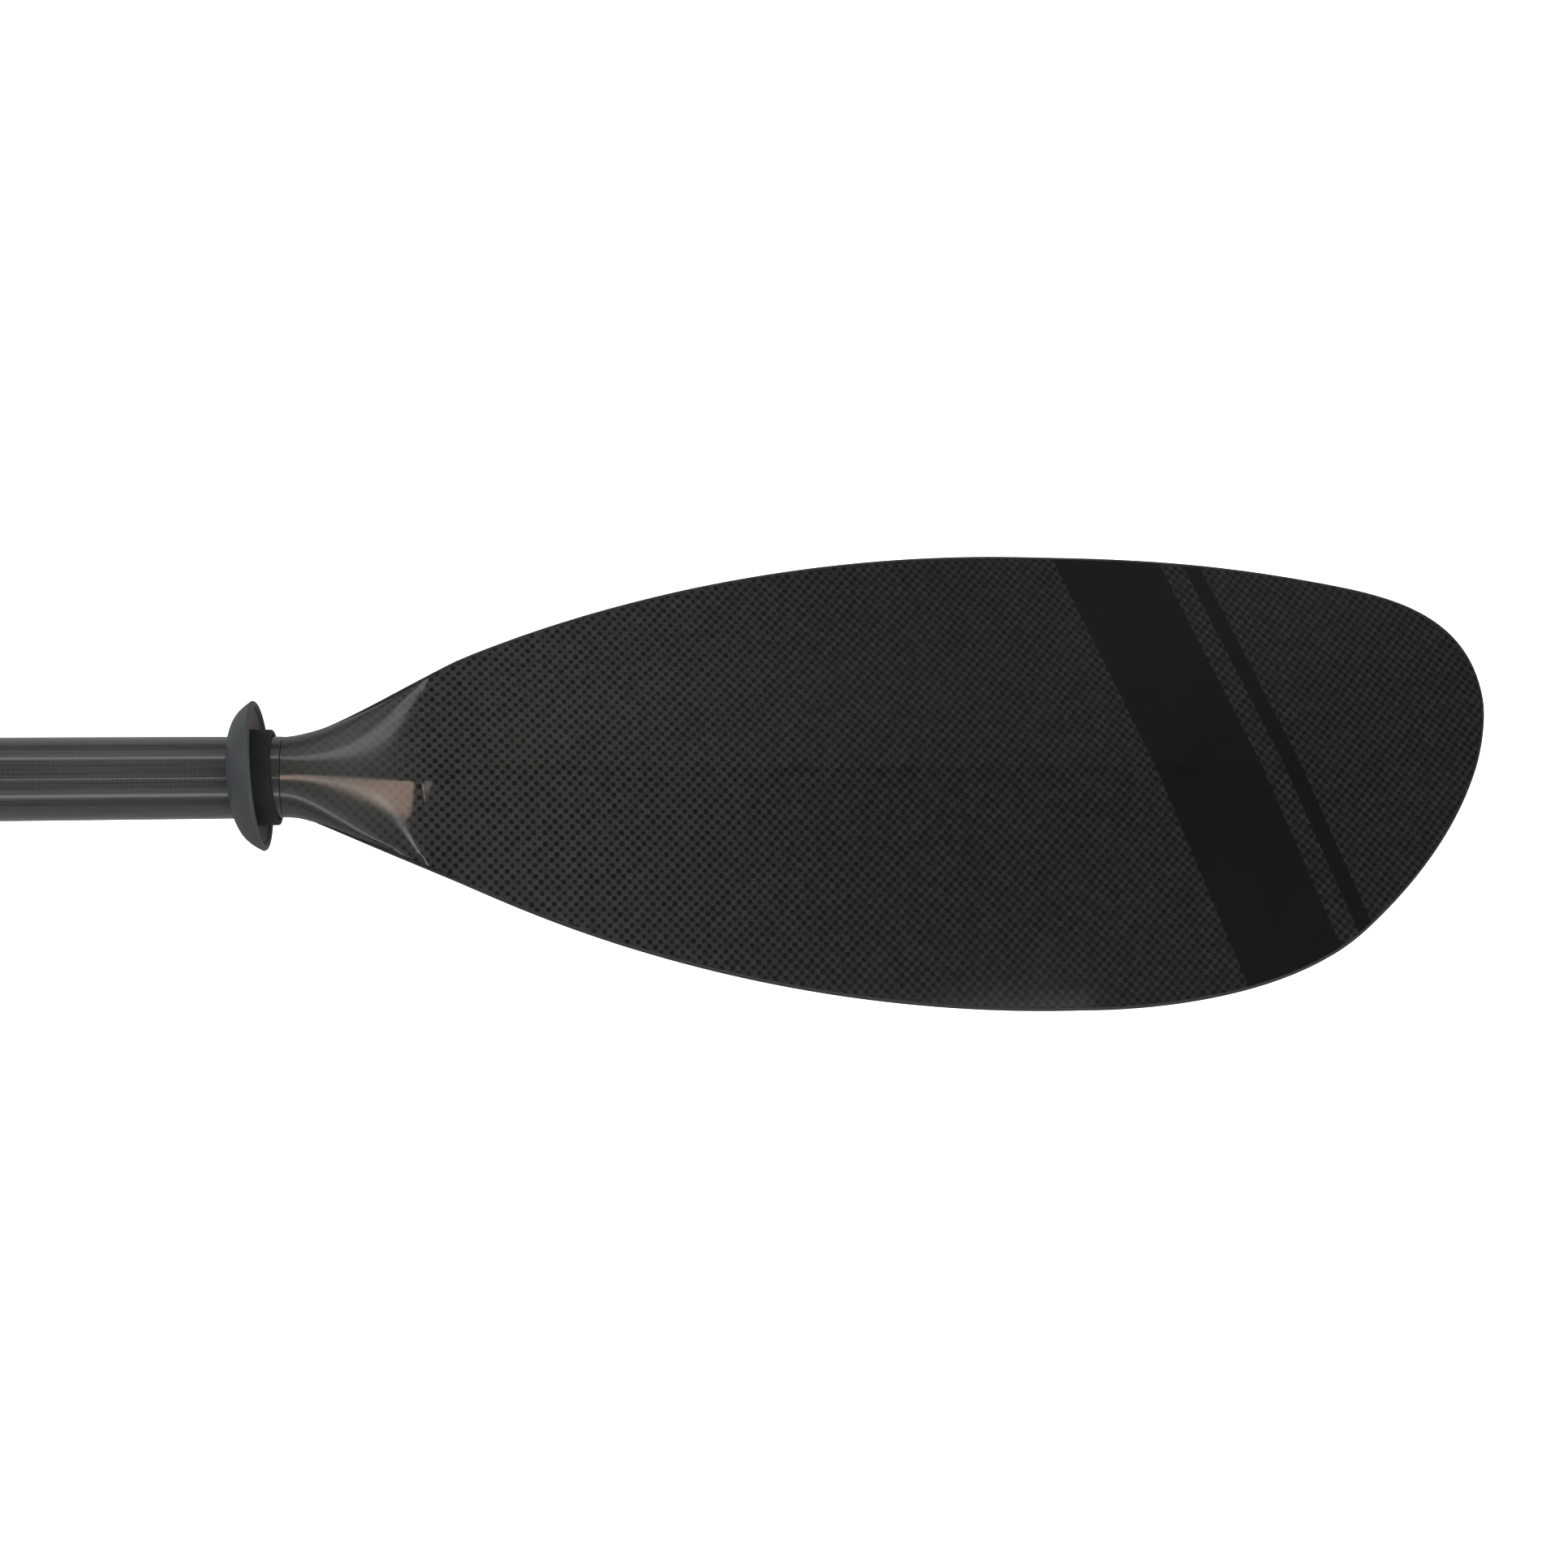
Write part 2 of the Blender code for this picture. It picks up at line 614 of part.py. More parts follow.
def lever_outline():
    """Side view of the lever about its pivot (y, z): a cam, then an arm that follows the clamp's body."""
    pivot = Vector((SCREW_Y, PIVOT_Z))
    cam_radius = CAM_REACH - CAM_OFFSET
    cam_steps = 12
    cam_from, cam_to = math.radians(80), math.radians(-170)
    points = []
    for i in range(cam_steps + 1):
        angle = cam_from + (cam_to - cam_from) * i / cam_steps
        points.append(Vector((0, -CAM_OFFSET)) + cam_radius * Vector((math.cos(angle), math.sin(angle))))
    arc_steps = 10
    for radius, start, end in ((LEVER_INNER, LEVER_START, LEVER_END), (LEVER_OUTER, LEVER_END, LEVER_START)):
        for i in range(arc_steps + 1):
            angle = start + (end - start) * i / arc_steps
            points.append(radius * Vector((math.cos(angle), math.sin(angle))) - pivot)
    return points


def add_lever(clamp):
    """The lever, with a fork at its cam end that straddles the screw."""
    pivot = (SCREW_X, SCREW_Y, PIVOT_Z)
    shape = prism(lever_outline(), -LEVER_HALF_LENGTH, LEVER_HALF_LENGTH)
    lever = add_part("clamp_lever", *shape, BLACK_PLASTIC, clamp, pivot)
    reach = CAM_REACH + FORK_DEPTH
    slot = add_box("fork_slot", (SCREW_X - FORK_SLOT / 2, SCREW_Y - reach, PIVOT_Z - reach),
                   (SCREW_X + FORK_SLOT / 2, SCREW_Y + reach, PIVOT_Z + reach), parent=clamp)
    bore_end = LEVER_HALF_LENGTH + CUTTER_SPARE
    bore = add_rod("lever_bore", (SCREW_X - bore_end, SCREW_Y, PIVOT_Z),
                   (SCREW_X + bore_end, SCREW_Y, PIVOT_Z), PIN_RADIUS + GAP, parent=clamp)
    combine(lever, "DIFFERENCE", [slot, bore])


def add_screw_parts(clamp):
    """The screw, its barrel pin, the saddle the cam presses on and the adjuster nut."""
    low = -EAR_HALF_HEIGHT - GAP - NUT_HEIGHT - SCREW_TAIL
    add_rod("clamp_screw", (SCREW_X, SCREW_Y, low), (SCREW_X, SCREW_Y, PIVOT_Z - PIN_RADIUS - GAP),
            SCREW_RADIUS, STEEL, clamp)
    add_rod("lever_pin", (SCREW_X - LEVER_HALF_LENGTH, SCREW_Y, PIVOT_Z),
            (SCREW_X + LEVER_HALF_LENGTH, SCREW_Y, PIVOT_Z), PIN_RADIUS, STEEL, clamp)
    bottom = EAR_HALF_HEIGHT + GAP
    half_length = LEVER_HALF_LENGTH + SADDLE_SPARE
    saddle = add_box("cam_saddle", (SCREW_X - half_length, SCREW_Y - SADDLE_HALF_WIDTH, bottom),
                     (SCREW_X + half_length, SCREW_Y + SADDLE_HALF_WIDTH, bottom + SADDLE_THICKNESS),
                     STEEL, clamp)
    hole = add_rod("saddle_hole", (SCREW_X, SCREW_Y, bottom - CUTTER_SPARE),
                   (SCREW_X, SCREW_Y, bottom + CUTTER_SPARE), SCREW_RADIUS + GAP, parent=clamp)
    combine(saddle, "DIFFERENCE", [hole])


def add_adjuster_nut(clamp):
    """A lobed nut under the lower ear, turned by hand to set the clamp's grip."""
    points, faces = [], []
    steps = NUT_LOBES * 4
    for i in range(steps):
        angle = 2 * math.pi * i / steps
        outer = NUT_RADIUS - LOBE_DEPTH + LOBE_DEPTH * math.cos(NUT_LOBES * angle)
        hole = SCREW_RADIUS + GAP
        for radius, z in ((outer, 0), (outer, -NUT_HEIGHT), (hole, -NUT_HEIGHT), (hole, 0)):
            points.append((radius * math.cos(angle), radius * math.sin(angle), z))
        for j in range(4):
            k = (j + 1) % 4
            there = (i + 1) % steps * 4
            faces.append([i * 4 + j, i * 4 + k, there + k, there + j])
    add_part("adjuster_nut", points, faces, BLACK_PLASTIC, clamp, (SCREW_X, SCREW_Y, -EAR_HALF_HEIGHT - GAP))


def build_paddle():
    clear_scene()
    left_half = add_empty("left_half", (0, 0, 0))
    right_half = add_empty("right_half", (0, 0, 0))
    for prefix, side, half in (("left", -1, left_half), ("right", 1, right_half)):
        add_shaft_tube(prefix, side, half)
        add_blade(prefix, side, half)
        add_drip_ring(prefix, side, half)
    add_ferrule(left_half, right_half)
    clamp = add_empty("clamp", (0, 0, 0), left_half)
    add_clamp_body(clamp)
    add_lever(clamp)
    add_screw_parts(clamp)
    add_adjuster_nut(clamp)


build_paddle()
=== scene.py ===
"""The looks of the kayak paddle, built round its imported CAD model.

Blade shapes are worked out in millimetres, u along the blade from the root of its neck and v across it, and
are then moved to each end of the paddle. Places along the shaft come from the frame.
"""

import json
import math

import bmesh
import bpy
import numpy as np
from mathutils import Matrix, Vector


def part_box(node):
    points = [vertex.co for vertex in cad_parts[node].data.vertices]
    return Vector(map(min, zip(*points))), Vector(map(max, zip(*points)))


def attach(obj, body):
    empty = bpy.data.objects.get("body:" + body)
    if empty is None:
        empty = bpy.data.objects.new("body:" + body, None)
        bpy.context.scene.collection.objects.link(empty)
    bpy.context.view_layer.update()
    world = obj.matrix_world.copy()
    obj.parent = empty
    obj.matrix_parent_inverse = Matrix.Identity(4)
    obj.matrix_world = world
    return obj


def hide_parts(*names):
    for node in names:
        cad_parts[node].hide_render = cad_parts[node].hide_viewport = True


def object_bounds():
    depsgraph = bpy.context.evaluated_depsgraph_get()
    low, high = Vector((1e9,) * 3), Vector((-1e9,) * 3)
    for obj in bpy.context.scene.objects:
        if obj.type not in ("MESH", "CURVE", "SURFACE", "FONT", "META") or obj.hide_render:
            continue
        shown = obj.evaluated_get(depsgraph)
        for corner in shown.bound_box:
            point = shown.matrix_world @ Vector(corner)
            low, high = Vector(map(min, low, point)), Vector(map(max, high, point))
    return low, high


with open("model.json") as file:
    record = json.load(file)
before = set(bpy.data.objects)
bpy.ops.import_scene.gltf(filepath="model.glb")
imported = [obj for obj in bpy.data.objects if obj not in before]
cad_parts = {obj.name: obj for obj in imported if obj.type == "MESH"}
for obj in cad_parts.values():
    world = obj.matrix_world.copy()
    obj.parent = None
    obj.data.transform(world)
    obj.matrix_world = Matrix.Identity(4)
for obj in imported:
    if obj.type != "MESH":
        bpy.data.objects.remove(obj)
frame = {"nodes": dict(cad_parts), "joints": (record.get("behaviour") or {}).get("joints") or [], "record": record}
cad_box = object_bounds()

MM = 0.001
JOINTS = {joint["name"]: joint for joint in frame["joints"]}
SIDES = {"left": -1, "right": 1}
BLADE_LENGTH = 474.5
ROOT_X = cad_box[1].x - BLADE_LENGTH * MM

# ---------------------------------------------------------------- materials


class Nodes:
    """A node tree under construction. Its methods take sockets or numbers and return sockets."""

    def __init__(self, tree):
        self.tree = tree

    def put(self, value, socket):
        if isinstance(value, bpy.types.NodeSocket):
            self.tree.links.new(value, socket)
        elif isinstance(value, tuple) and len(value) == 3 and socket.type == "RGBA":
            socket.default_value = (*value, 1.0)
        else:
            socket.default_value = value

    def node(self, kind, settings=None, **inputs):
        made = self.tree.nodes.new(kind)
        for key, value in (settings or {}).items():
            setattr(made, key, value)
        for key, value in inputs.items():
            self.put(value, made.inputs[key.replace("_", " ")])
        return made

    def math(self, operation, *values):
        made = self.tree.nodes.new("ShaderNodeMath")
        made.operation = operation
        for value, socket in zip(values, made.inputs):
            self.put(value, socket)
        return made.outputs[0]

    def ramp(self, value, low, high, to_low=0.0, to_high=1.0):
        """A smooth step of value from low to high."""
        made = self.node("ShaderNodeMapRange", {"interpolation_type": "SMOOTHSTEP"}, Value=value)
        made.inputs["From Min"].default_value = low
        made.inputs["From Max"].default_value = high
        made.inputs["To Min"].default_value = to_low
        made.inputs["To Max"].default_value = to_high
        return made.outputs[0]

    def mix(self, factor, a, b):
        made = self.node("ShaderNodeMix", {"data_type": "RGBA"})
        self.put(factor, made.inputs[0])
        self.put(a, made.inputs[6])
        self.put(b, made.inputs[7])
        return made.outputs[2]

    def attribute(self, name):
        return self.node("ShaderNodeAttribute", {"attribute_name": name}).outputs["Vector"]

    def place(self):
        return self.node("ShaderNodeTexCoord").outputs["Object"]

    def stretched(self, vector, x, y, z):
        made = self.node("ShaderNodeMapping", Vector=vector)
        made.inputs["Scale"].default_value = (x, y, z)
        return made.outputs[0]

    def parts(self, vector):
        return self.node("ShaderNodeSeparateXYZ", Vector=vector).outputs

    def noise(self, vector, scale, detail=3.0, roughness=0.5):
        made = self.node("ShaderNodeTexNoise", Vector=vector, Scale=scale, Detail=detail, Roughness=roughness)
        return made.outputs["Fac"]

    def bump(self, height, distance, strength=1.0):
        made = self.node("ShaderNodeBump", Height=height, Distance=distance, Strength=strength)
        return made.outputs["Normal"]


class Look(Nodes):
    """A material under construction."""

    def __init__(self, name):
        self.material = bpy.data.materials.new(name)
        self.material.use_nodes = True
        super().__init__(self.material.node_tree)

    def finish(self, **inputs):
        """Sets inputs of the shader and returns the material."""
        shader = self.tree.nodes["Principled BSDF"]
        for key, value in inputs.items():
            self.put(value, shader.inputs[key.replace("_", " ")])
        return self.material


# The weave: a tow's width in mm, the waves of hand-laid tows as (wavelength, span), and where along the blade
# the neck's and the near part's looks fade out. A pair of colours holds the darkest and the lightest tow.
TOW = 2.0
TOW_WAVES = ((22.0, 0.9), (5.0, 0.35))
NECK_END = (20.0, 52.0)
NEAR_END = (60.0, 260.0)
UNEVENNESS = 0.22
NEAR_LIFT = 0.22
LIGHT_LEVELS = (-0.62, 0.55)
WEAVE_DEPTH = 0.05
DARK_TOW = ((0.0012, 0.0013, 0.0014), (0.0045, 0.0047, 0.0049))
FAR_TOW = ((0.0088, 0.0092, 0.0094), (0.0200, 0.0207, 0.0208))
NEAR_TOW = ((0.0185, 0.0195, 0.0195), (0.0360, 0.0372, 0.0365))
FAR_WARM = (0.0165, 0.0150, 0.0125)
NEAR_WARM = (0.031, 0.0287, 0.0232)
NECK_DARK = (0.031, 0.032, 0.0285)
NECK_LIGHT = (0.041, 0.042, 0.0375)
BAND_SLANT = 0.36
BANDS = ((356.0, 44.0), (391.0, 7.0))
BAND_SOFTNESS = 0.15
BAND_COLOUR = (0.0018, 0.0021, 0.0024)


def wandering(look, fabric):
    """The fabric's coordinates with the small waves of hand-laid tows."""
    for wavelength, span in TOW_WAVES:
        made = look.node("ShaderNodeTexNoise", Vector=fabric, Scale=1.0 / wavelength, Detail=1.0)
        shift = look.node("ShaderNodeVectorMath", {"operation": "MULTIPLY_ADD"})
        look.put(made.outputs["Color"], shift.inputs[0])
        shift.inputs[1].default_value = (span, span, 0)
        look.put(fabric, shift.inputs[2])
        fabric = shift.outputs[0]
    return fabric


def plain_weave(look, fabric, near_neck):
    """The weave's checker from -1 to 1, the share of light tow, and a shade that differs between tows."""
    x, y, _ = look.parts(fabric)
    along, across = look.math("DIVIDE", x, TOW), look.math("DIVIDE", y, TOW)
    waves = [look.math("SINE", look.math("MULTIPLY", place, math.pi)) for place in (along, across)]
    checker = look.math("MULTIPLY", *waves)
    cell = look.node("ShaderNodeCombineXYZ", X=look.math("FLOOR", along), Y=look.math("FLOOR", across))
    chance = look.node("ShaderNodeTexWhiteNoise", Vector=cell.outputs[0]).outputs["Value"]
    uneven = look.math("MULTIPLY", look.math("SUBTRACT", chance, 0.5), UNEVENNESS)
    lift = look.math("MULTIPLY", near_neck, NEAR_LIFT)
    light = look.ramp(look.math("ADD", look.math("ADD", checker, uneven), lift), *LIGHT_LEVELS)
    fibres_x = look.noise(look.stretched(fabric, 0.4, 5.0, 1.0), 1.0)
    fibres_y = look.noise(look.stretched(fabric, 5.0, 0.4, 1.0), 1.0)
    fibres = look.math("ADD", look.math("MULTIPLY", fibres_x, light),
                       look.math("MULTIPLY", fibres_y, look.math("SUBTRACT", 1.0, light)))
    shade = look.math("ADD", look.math("MULTIPLY", look.ramp(fibres, 0.3, 0.7), 0.55),
                      look.math("MULTIPLY", chance, 0.45))
    return checker, light, shade


def add_bands(look, colour, height):
    """Colour and height of the laminate with matt bands that slant across the blade."""
    u, v, _ = look.parts(look.attribute("plan"))
    slanted = look.math("ADD", u, look.math("MULTIPLY", v, BAND_SLANT))
    covered = 0.0
    for centre, width in BANDS:
        off = look.math("ABSOLUTE", look.math("SUBTRACT", slanted, centre))
        inside = look.ramp(off, width / 2 - BAND_SOFTNESS, width / 2 + BAND_SOFTNESS, 1.0, 0.0)
        colour = look.mix(inside, colour, BAND_COLOUR)
        covered = look.math("MAXIMUM", inside, covered)
    return colour, look.math("MULTIPLY", height, look.math("SUBTRACT", 1.0, covered))


def carbon_laminate(name, banded):
    """Plain-weave carbon under clear resin: deep towards the tip, paler and blurred on the neck."""
    look = Look(name)
    flat = look.attribute("fabric")
    run = look.parts(flat)[0]
    near_neck = look.ramp(run, *NEAR_END, 1.0, 0.0)
    on_neck = look.ramp(run, *NECK_END, 1.0, 0.0)
    checker, light, shade = plain_weave(look, wandering(look, flat), near_neck)
    light_tow = look.mix(near_neck, look.mix(shade, *FAR_TOW), look.mix(shade, *NEAR_TOW))
    tint = look.ramp(look.noise(flat, 0.02, 2.0), 0.45, 0.65, 0.0, 0.45)
    light_tow = look.mix(tint, light_tow, look.mix(near_neck, FAR_WARM, NEAR_WARM))
    light_tow = look.mix(on_neck, light_tow, NECK_LIGHT)
    dark_tow = look.mix(on_neck, look.mix(shade, *DARK_TOW), NECK_DARK)
    colour = look.mix(light, dark_tow, light_tow)
    height = look.math("ABSOLUTE", checker)
    if banded:
        colour, height = add_bands(look, colour, height)
    resin = look.noise(look.place(), 60.0, 2.0)
    gloss = look.math("ADD", look.ramp(resin, 0.3, 0.7, 0.05, 0.09), look.math("MULTIPLY", on_neck, 0.06))
    return look.finish(Base_Color=colour, Roughness=look.ramp(resin, 0.3, 0.7, 0.34, 0.44),
                       Coat_Weight=1.0, Coat_Roughness=gloss, Specular_IOR_Level=0.12,
                       Normal=look.bump(height, WEAVE_DEPTH * MM, 0.6))


def carbon_tube():
    """Satin carbon tube: fine lengthwise streaks over a faint braid."""
    look = Look("carbon_tube")
    braid = 1.6
    dark_streak, light_streak = (0.024, 0.025, 0.026), (0.044, 0.045, 0.046)
    braid_tint, cloud_tint = (0.065, 0.066, 0.067), (0.03, 0.029, 0.027)
    fabric = look.attribute("fabric")
    x, around, _ = look.parts(fabric)
    up = look.math("SINE", look.math("MULTIPLY", look.math("ADD", x, around), math.pi / braid))
    down = look.math("SINE", look.math("MULTIPLY", look.math("SUBTRACT", x, around), math.pi / braid))
    crossing = look.math("MULTIPLY", up, down)
    streaks = look.noise(look.stretched(fabric, 0.02, 1.6, 1.0), 1.0, 4.0, 0.6)
    cloud = look.noise(look.stretched(fabric, 0.02, 0.1, 1.0), 1.0, 2.0)
    colour = look.mix(look.ramp(streaks, 0.3, 0.7), dark_streak, light_streak)
    colour = look.mix(look.ramp(crossing, -0.6, 0.6, 0.0, 0.25), colour, braid_tint)
    colour = look.mix(look.ramp(cloud, 0.35, 0.75, 0.0, 0.3), colour, cloud_tint)
    height = look.math("ADD", streaks, look.math("MULTIPLY", crossing, 0.2))
    return look.finish(Base_Color=colour, Roughness=look.ramp(streaks, 0.2, 0.8, 0.24, 0.36),
                       Coat_Weight=1.0, Coat_Roughness=0.06, Specular_IOR_Level=0.3,
                       Normal=look.bump(height, 0.05 * MM, 0.5))


def edge_resin():
    """The black bead's resin, speckled and half glossy."""
    look = Look("edge_resin")
    speck = look.noise(look.place(), 900.0, 4.0)
    colour = look.mix(look.ramp(speck, 0.35, 0.65), (0.006, 0.006, 0.0065), (0.014, 0.014, 0.0145))
    return look.finish(Base_Color=colour, Roughness=look.ramp(speck, 0.3, 0.7, 0.3, 0.5), Coat_Weight=0.4,
                       Coat_Roughness=0.15, Normal=look.bump(speck, 0.05 * MM, 0.3))


def moulded(name, low, high, roughness, grain=1500.0, depth=0.03, inside=None):
    """Moulded plastic or rubber, fine-grained and clouded. Where "inside" is set, the colour given as inside is
    painted on; the cup uses this as painted light on its lit inner wall.
    """
    look = Look(name)
    place = look.place()
    fine = look.noise(place, grain, 5.0, 0.6)
    cloud = look.noise(place, 45.0, 4.0)
    share = look.math("ADD", look.math("MULTIPLY", fine, 0.45), look.math("MULTIPLY", cloud, 0.55))
    colour = look.mix(look.ramp(share, 0.38, 0.62), low, high)
    # Painted light: the inside colour is a lighter grey that stands in for the light falling on the cup's inner
    # wall.
    if inside:
        colour = look.mix(look.parts(look.attribute("inside"))[0], colour, inside)
    rough = look.ramp(cloud, 0.3, 0.7, roughness - 0.06, roughness + 0.06)
    return look.finish(Base_Color=colour, Roughness=rough, Normal=look.bump(fine, depth * MM, 0.8))


def brushed_steel():
    """Steel with fine lines along the paddle."""
    look = Look("stainless_steel")
    lines = look.noise(look.stretched(look.place(), 300.0, 4000.0, 4000.0), 1.0, 3.0)
    colour = look.mix(lines, (0.42, 0.42, 0.43), (0.62, 0.62, 0.63))
    return look.finish(Base_Color=colour, Metallic=1.0, Roughness=look.ramp(lines, 0.3, 0.7, 0.22, 0.38),
                       Normal=look.bump(lines, 0.01 * MM, 0.5))


def foam():
    """Pale foam with small closed cells."""
    look = Look("closed_cell_foam")
    cells = look.node("ShaderNodeTexVoronoi", Vector=look.place(), Scale=900.0).outputs["Distance"]
    colour = look.mix(look.ramp(cells, 0.1, 0.7), (0.45, 0.43, 0.36), (0.7, 0.68, 0.6))
    return look.finish(Base_Color=colour, Roughness=0.9, Normal=look.bump(cells, 0.2 * MM, 0.8))


def wound_glass():
    """The ferrule's laminate: fine wound threads in dark resin."""
    look = Look("wound_glass")
    phase_per_metre, phase_around = 3500.0, 42.0
    x, y, z = look.parts(look.place())
    run = look.math("MULTIPLY", x, phase_per_metre)
    turn = look.math("MULTIPLY", look.math("ARCTAN2", y, z), phase_around)
    up = look.math("SINE", look.math("ADD", run, turn))
    down = look.math("SINE", look.math("SUBTRACT", run, turn))
    cross = look.math("MULTIPLY", up, down)
    colour = look.mix(look.ramp(cross, -0.7, 0.7), (0.035, 0.034, 0.03), (0.085, 0.08, 0.07))
    return look.finish(Base_Color=colour, Roughness=0.32, Coat_Weight=0.6, Coat_Roughness=0.12,
                       Normal=look.bump(cross, 0.05 * MM, 0.4))


LOOKS = {
    "power_laminate": carbon_laminate("carbon_power_face", True),
    "back_laminate": carbon_laminate("carbon_back_face", True),
    "tube": carbon_tube(),
    "edge": edge_resin(),
    # The cup's inside colour is a painted highlight: a lighter grey that stands in for the light on its inner
    # wall, not a second plastic.
    "cup": moulded("cup_grey", (0.037, 0.042, 0.0445), (0.053, 0.059, 0.0615), 0.5,
                   inside=(0.125, 0.125, 0.12)),
    "collar": moulded("collar_rubber", (0.005, 0.006, 0.0068), (0.010, 0.0112, 0.012), 0.62,
                      grain=2400.0, depth=0.05),
    "plastic": moulded("clamp_black", (0.012, 0.012, 0.013), (0.024, 0.024, 0.025), 0.42),
    "nylon": moulded("nylon", (0.62, 0.61, 0.57), (0.76, 0.75, 0.7), 0.45),
    "steel": brushed_steel(),
    "foam": foam(),
    "glass": wound_glass(),
}

# ---------------------------------------------------------------- mesh helpers

SAME_POINT = 0.0005


def tidy_mesh(shape):
    """Merges the points that coincide and drops the faces that this collapses, with their bare edges."""
    bmesh.ops.remove_doubles(shape, verts=shape.verts, dist=SAME_POINT * MM)
    bmesh.ops.dissolve_degenerate(shape, edges=shape.edges, dist=SAME_POINT * MM)
    bare = [edge for edge in shape.edges if not edge.link_faces]
    bmesh.ops.delete(shape, geom=bare, context="EDGES")


def raw_solid(name, points, faces, bevel=0.0, sharpest=60):
    """A closed mesh object from points in metres. Edges sharper than an angle are rounded by bevel mm."""
    mesh = bpy.data.meshes.new(name)
    mesh.from_pydata([tuple(point) for point in points], [], [tuple(face) for face in faces])
    shape = bmesh.new()
    shape.from_mesh(mesh)
    tidy_mesh(shape)
    bmesh.ops.recalc_face_normals(shape, faces=shape.faces)
    if bevel:
        edges = [edge for edge in shape.edges if edge.calc_face_angle(0) > math.radians(sharpest)]
        bmesh.ops.bevel(shape, geom=edges, offset=bevel * MM, segments=4, profile=0.5, affect="EDGES")
    shape.to_mesh(mesh)
    shape.free()
    solid = bpy.data.objects.new(name, mesh)
    bpy.context.scene.collection.objects.link(solid)
    return solid


def finish_piece(piece, look, body, replaced, smooth_angle=40):
    """Gives a solid its look, its CAD body and the CAD nodes that it stands for."""
    piece.data.materials.clear()
    piece.data.materials.append(LOOKS[look])
    piece.data.shade_smooth()
    piece.data.set_sharp_from_angle(angle=math.radians(smooth_angle))
    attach(piece, body)
    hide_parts(*replaced)
    return piece


def make_piece(name, points, faces, look, body, replaced, smooth_angle=40):
    """A finished piece straight from its points in metres and faces."""
    return finish_piece(raw_solid(name, points, faces), look, body, replaced, smooth_angle)


def combine(base, operation, tools):
    """Joins the tools to the base, or cuts them from it, and removes them."""
    for tool in tools:
        step = base.modifiers.new("combine", "BOOLEAN")
        step.operation = operation
        step.solver = "EXACT"
        step.object = tool
    graph = bpy.context.evaluated_depsgraph_get()
    base.data = bpy.data.meshes.new_from_object(base.evaluated_get(graph))
    base.modifiers.clear()
    shape = bmesh.new()
    shape.from_mesh(base.data)
    tidy_mesh(shape)
    shape.to_mesh(base.data)
    shape.free()
    for tool in tools:
        bpy.data.objects.remove(tool)


def block(low, high, bevel=0.0):
    """A box between two corners in mm, with rounded edges."""
    xs, ys, zs = zip(low, high)
    points = [Vector((x, y, z)) * MM for x in xs for y in ys for z in zs]
    faces = [(0, 1, 3, 2), (4, 6, 7, 5), (0, 4, 5, 1), (2, 3, 7, 6), (0, 2, 6, 4), (1, 5, 7, 3)]
    return raw_solid("block", points, faces, bevel)


def rod(start, end, radius):
    """A plain round cutter between two places in mm."""
    axis = Vector(end) - Vector(start)
    profile = [(0, 0.0), (0, radius), (axis.length, radius), (axis.length, 0.0)]
    points, faces = turned(profile, Vector(start) * MM, axis)
    return raw_solid("rod", points, faces)


def set_vectors(piece, name, values):
    """A named vector on each point, for the materials."""
    store = piece.data.attributes.new(name, "FLOAT_VECTOR", "POINT")
    store.data.foreach_set("vector", np.asarray(values, np.float32).ravel())


def rounded(corners, steps=4):
    """A profile whose corners (x, r, radius) are rounded off; radius 0 keeps the corner."""
    points = []
    count = len(corners)
    for i, (x, r, radius) in enumerate(corners):
        here = Vector((x, r))
        before = Vector(corners[i - 1][:2])
        after = Vector(corners[(i + 1) % count][:2])
        if radius == 0:
            points.append(here)
            continue
        start = here + (before - here).normalized() * radius
        end = here + (after - here).normalized() * radius
        for j in range(steps + 1):
            t = j / steps
            points.append(start * (1 - t) ** 2 + here * (2 * t * (1 - t)) + end * t * t)
    return points


def turned(profile, centre, axis, steps=96):
    """Points and faces of a closed half section (along, radius), in mm, turned round an axis."""
    turn = Vector((1, 0, 0)).rotation_difference(Vector(axis).normalized()).to_matrix()
    points = []
    for i in range(steps):
        angle = 2 * math.pi * i / steps
        for x, r in profile:
            spot = Vector((x, r * math.cos(angle), r * math.sin(angle))) * MM
            points.append(turn @ spot + Vector(centre))
    count = len(profile)
    faces = []
    for i in range(steps):
        here, there = i * count, (i + 1) % steps * count
        for j in range(count):
            k = (j + 1) % count
            faces.append((here + j, here + k, there + k, there + j))
    return points, faces


# ---------------------------------------------------------------- blades

NECK_RADIUS = 14.4
SEAM_U = 1.2
OUTLINE = (
    ((0, NECK_RADIUS), (17, NECK_RADIUS), (43.5, 36), (75, 49.5)),
    ((75, 49.5), (80, 51.5), (166.5, 93.5), (285, 93.5)),
    ((285, 93.5), (338.5, 93.5), (374, 90), (417, 80.5)),
    ((417, 80.5), (443.5, 74.5), (BLADE_LENGTH, 65.5), (BLADE_LENGTH, 28.5)),
    ((BLADE_LENGTH, 28.5), (BLADE_LENGTH, 28), (BLADE_LENGTH, -16.5), (413.5, -64)),
    ((413.5, -64), (374, -94.5), (300, -90.5), (297, -90.5)),
    ((297, -90.5), (252.5, -90.5), (165, -84.5), (75, -45)),
    ((75, -45), (6, -15), (12, -NECK_RADIUS), (0, -NECK_RADIUS)),
)
FOLD_U = 50.0
FOLD_SPREAD = 0.12
FAN_U = 400.0
RIDGE_ROUNDING = 1.0
BACK_ROUNDING = 8.0
CREASE_SLOPE = 0.05
CREASE_WIDTH = 13.0
RIM_WIDTH = 1.3
EDGE_THICKNESS = 2.2
CENTRE_EXTRA = 2.0
SKIN = 0.7
NECK_WALL = 1.2
RIB_END_U = 190.0
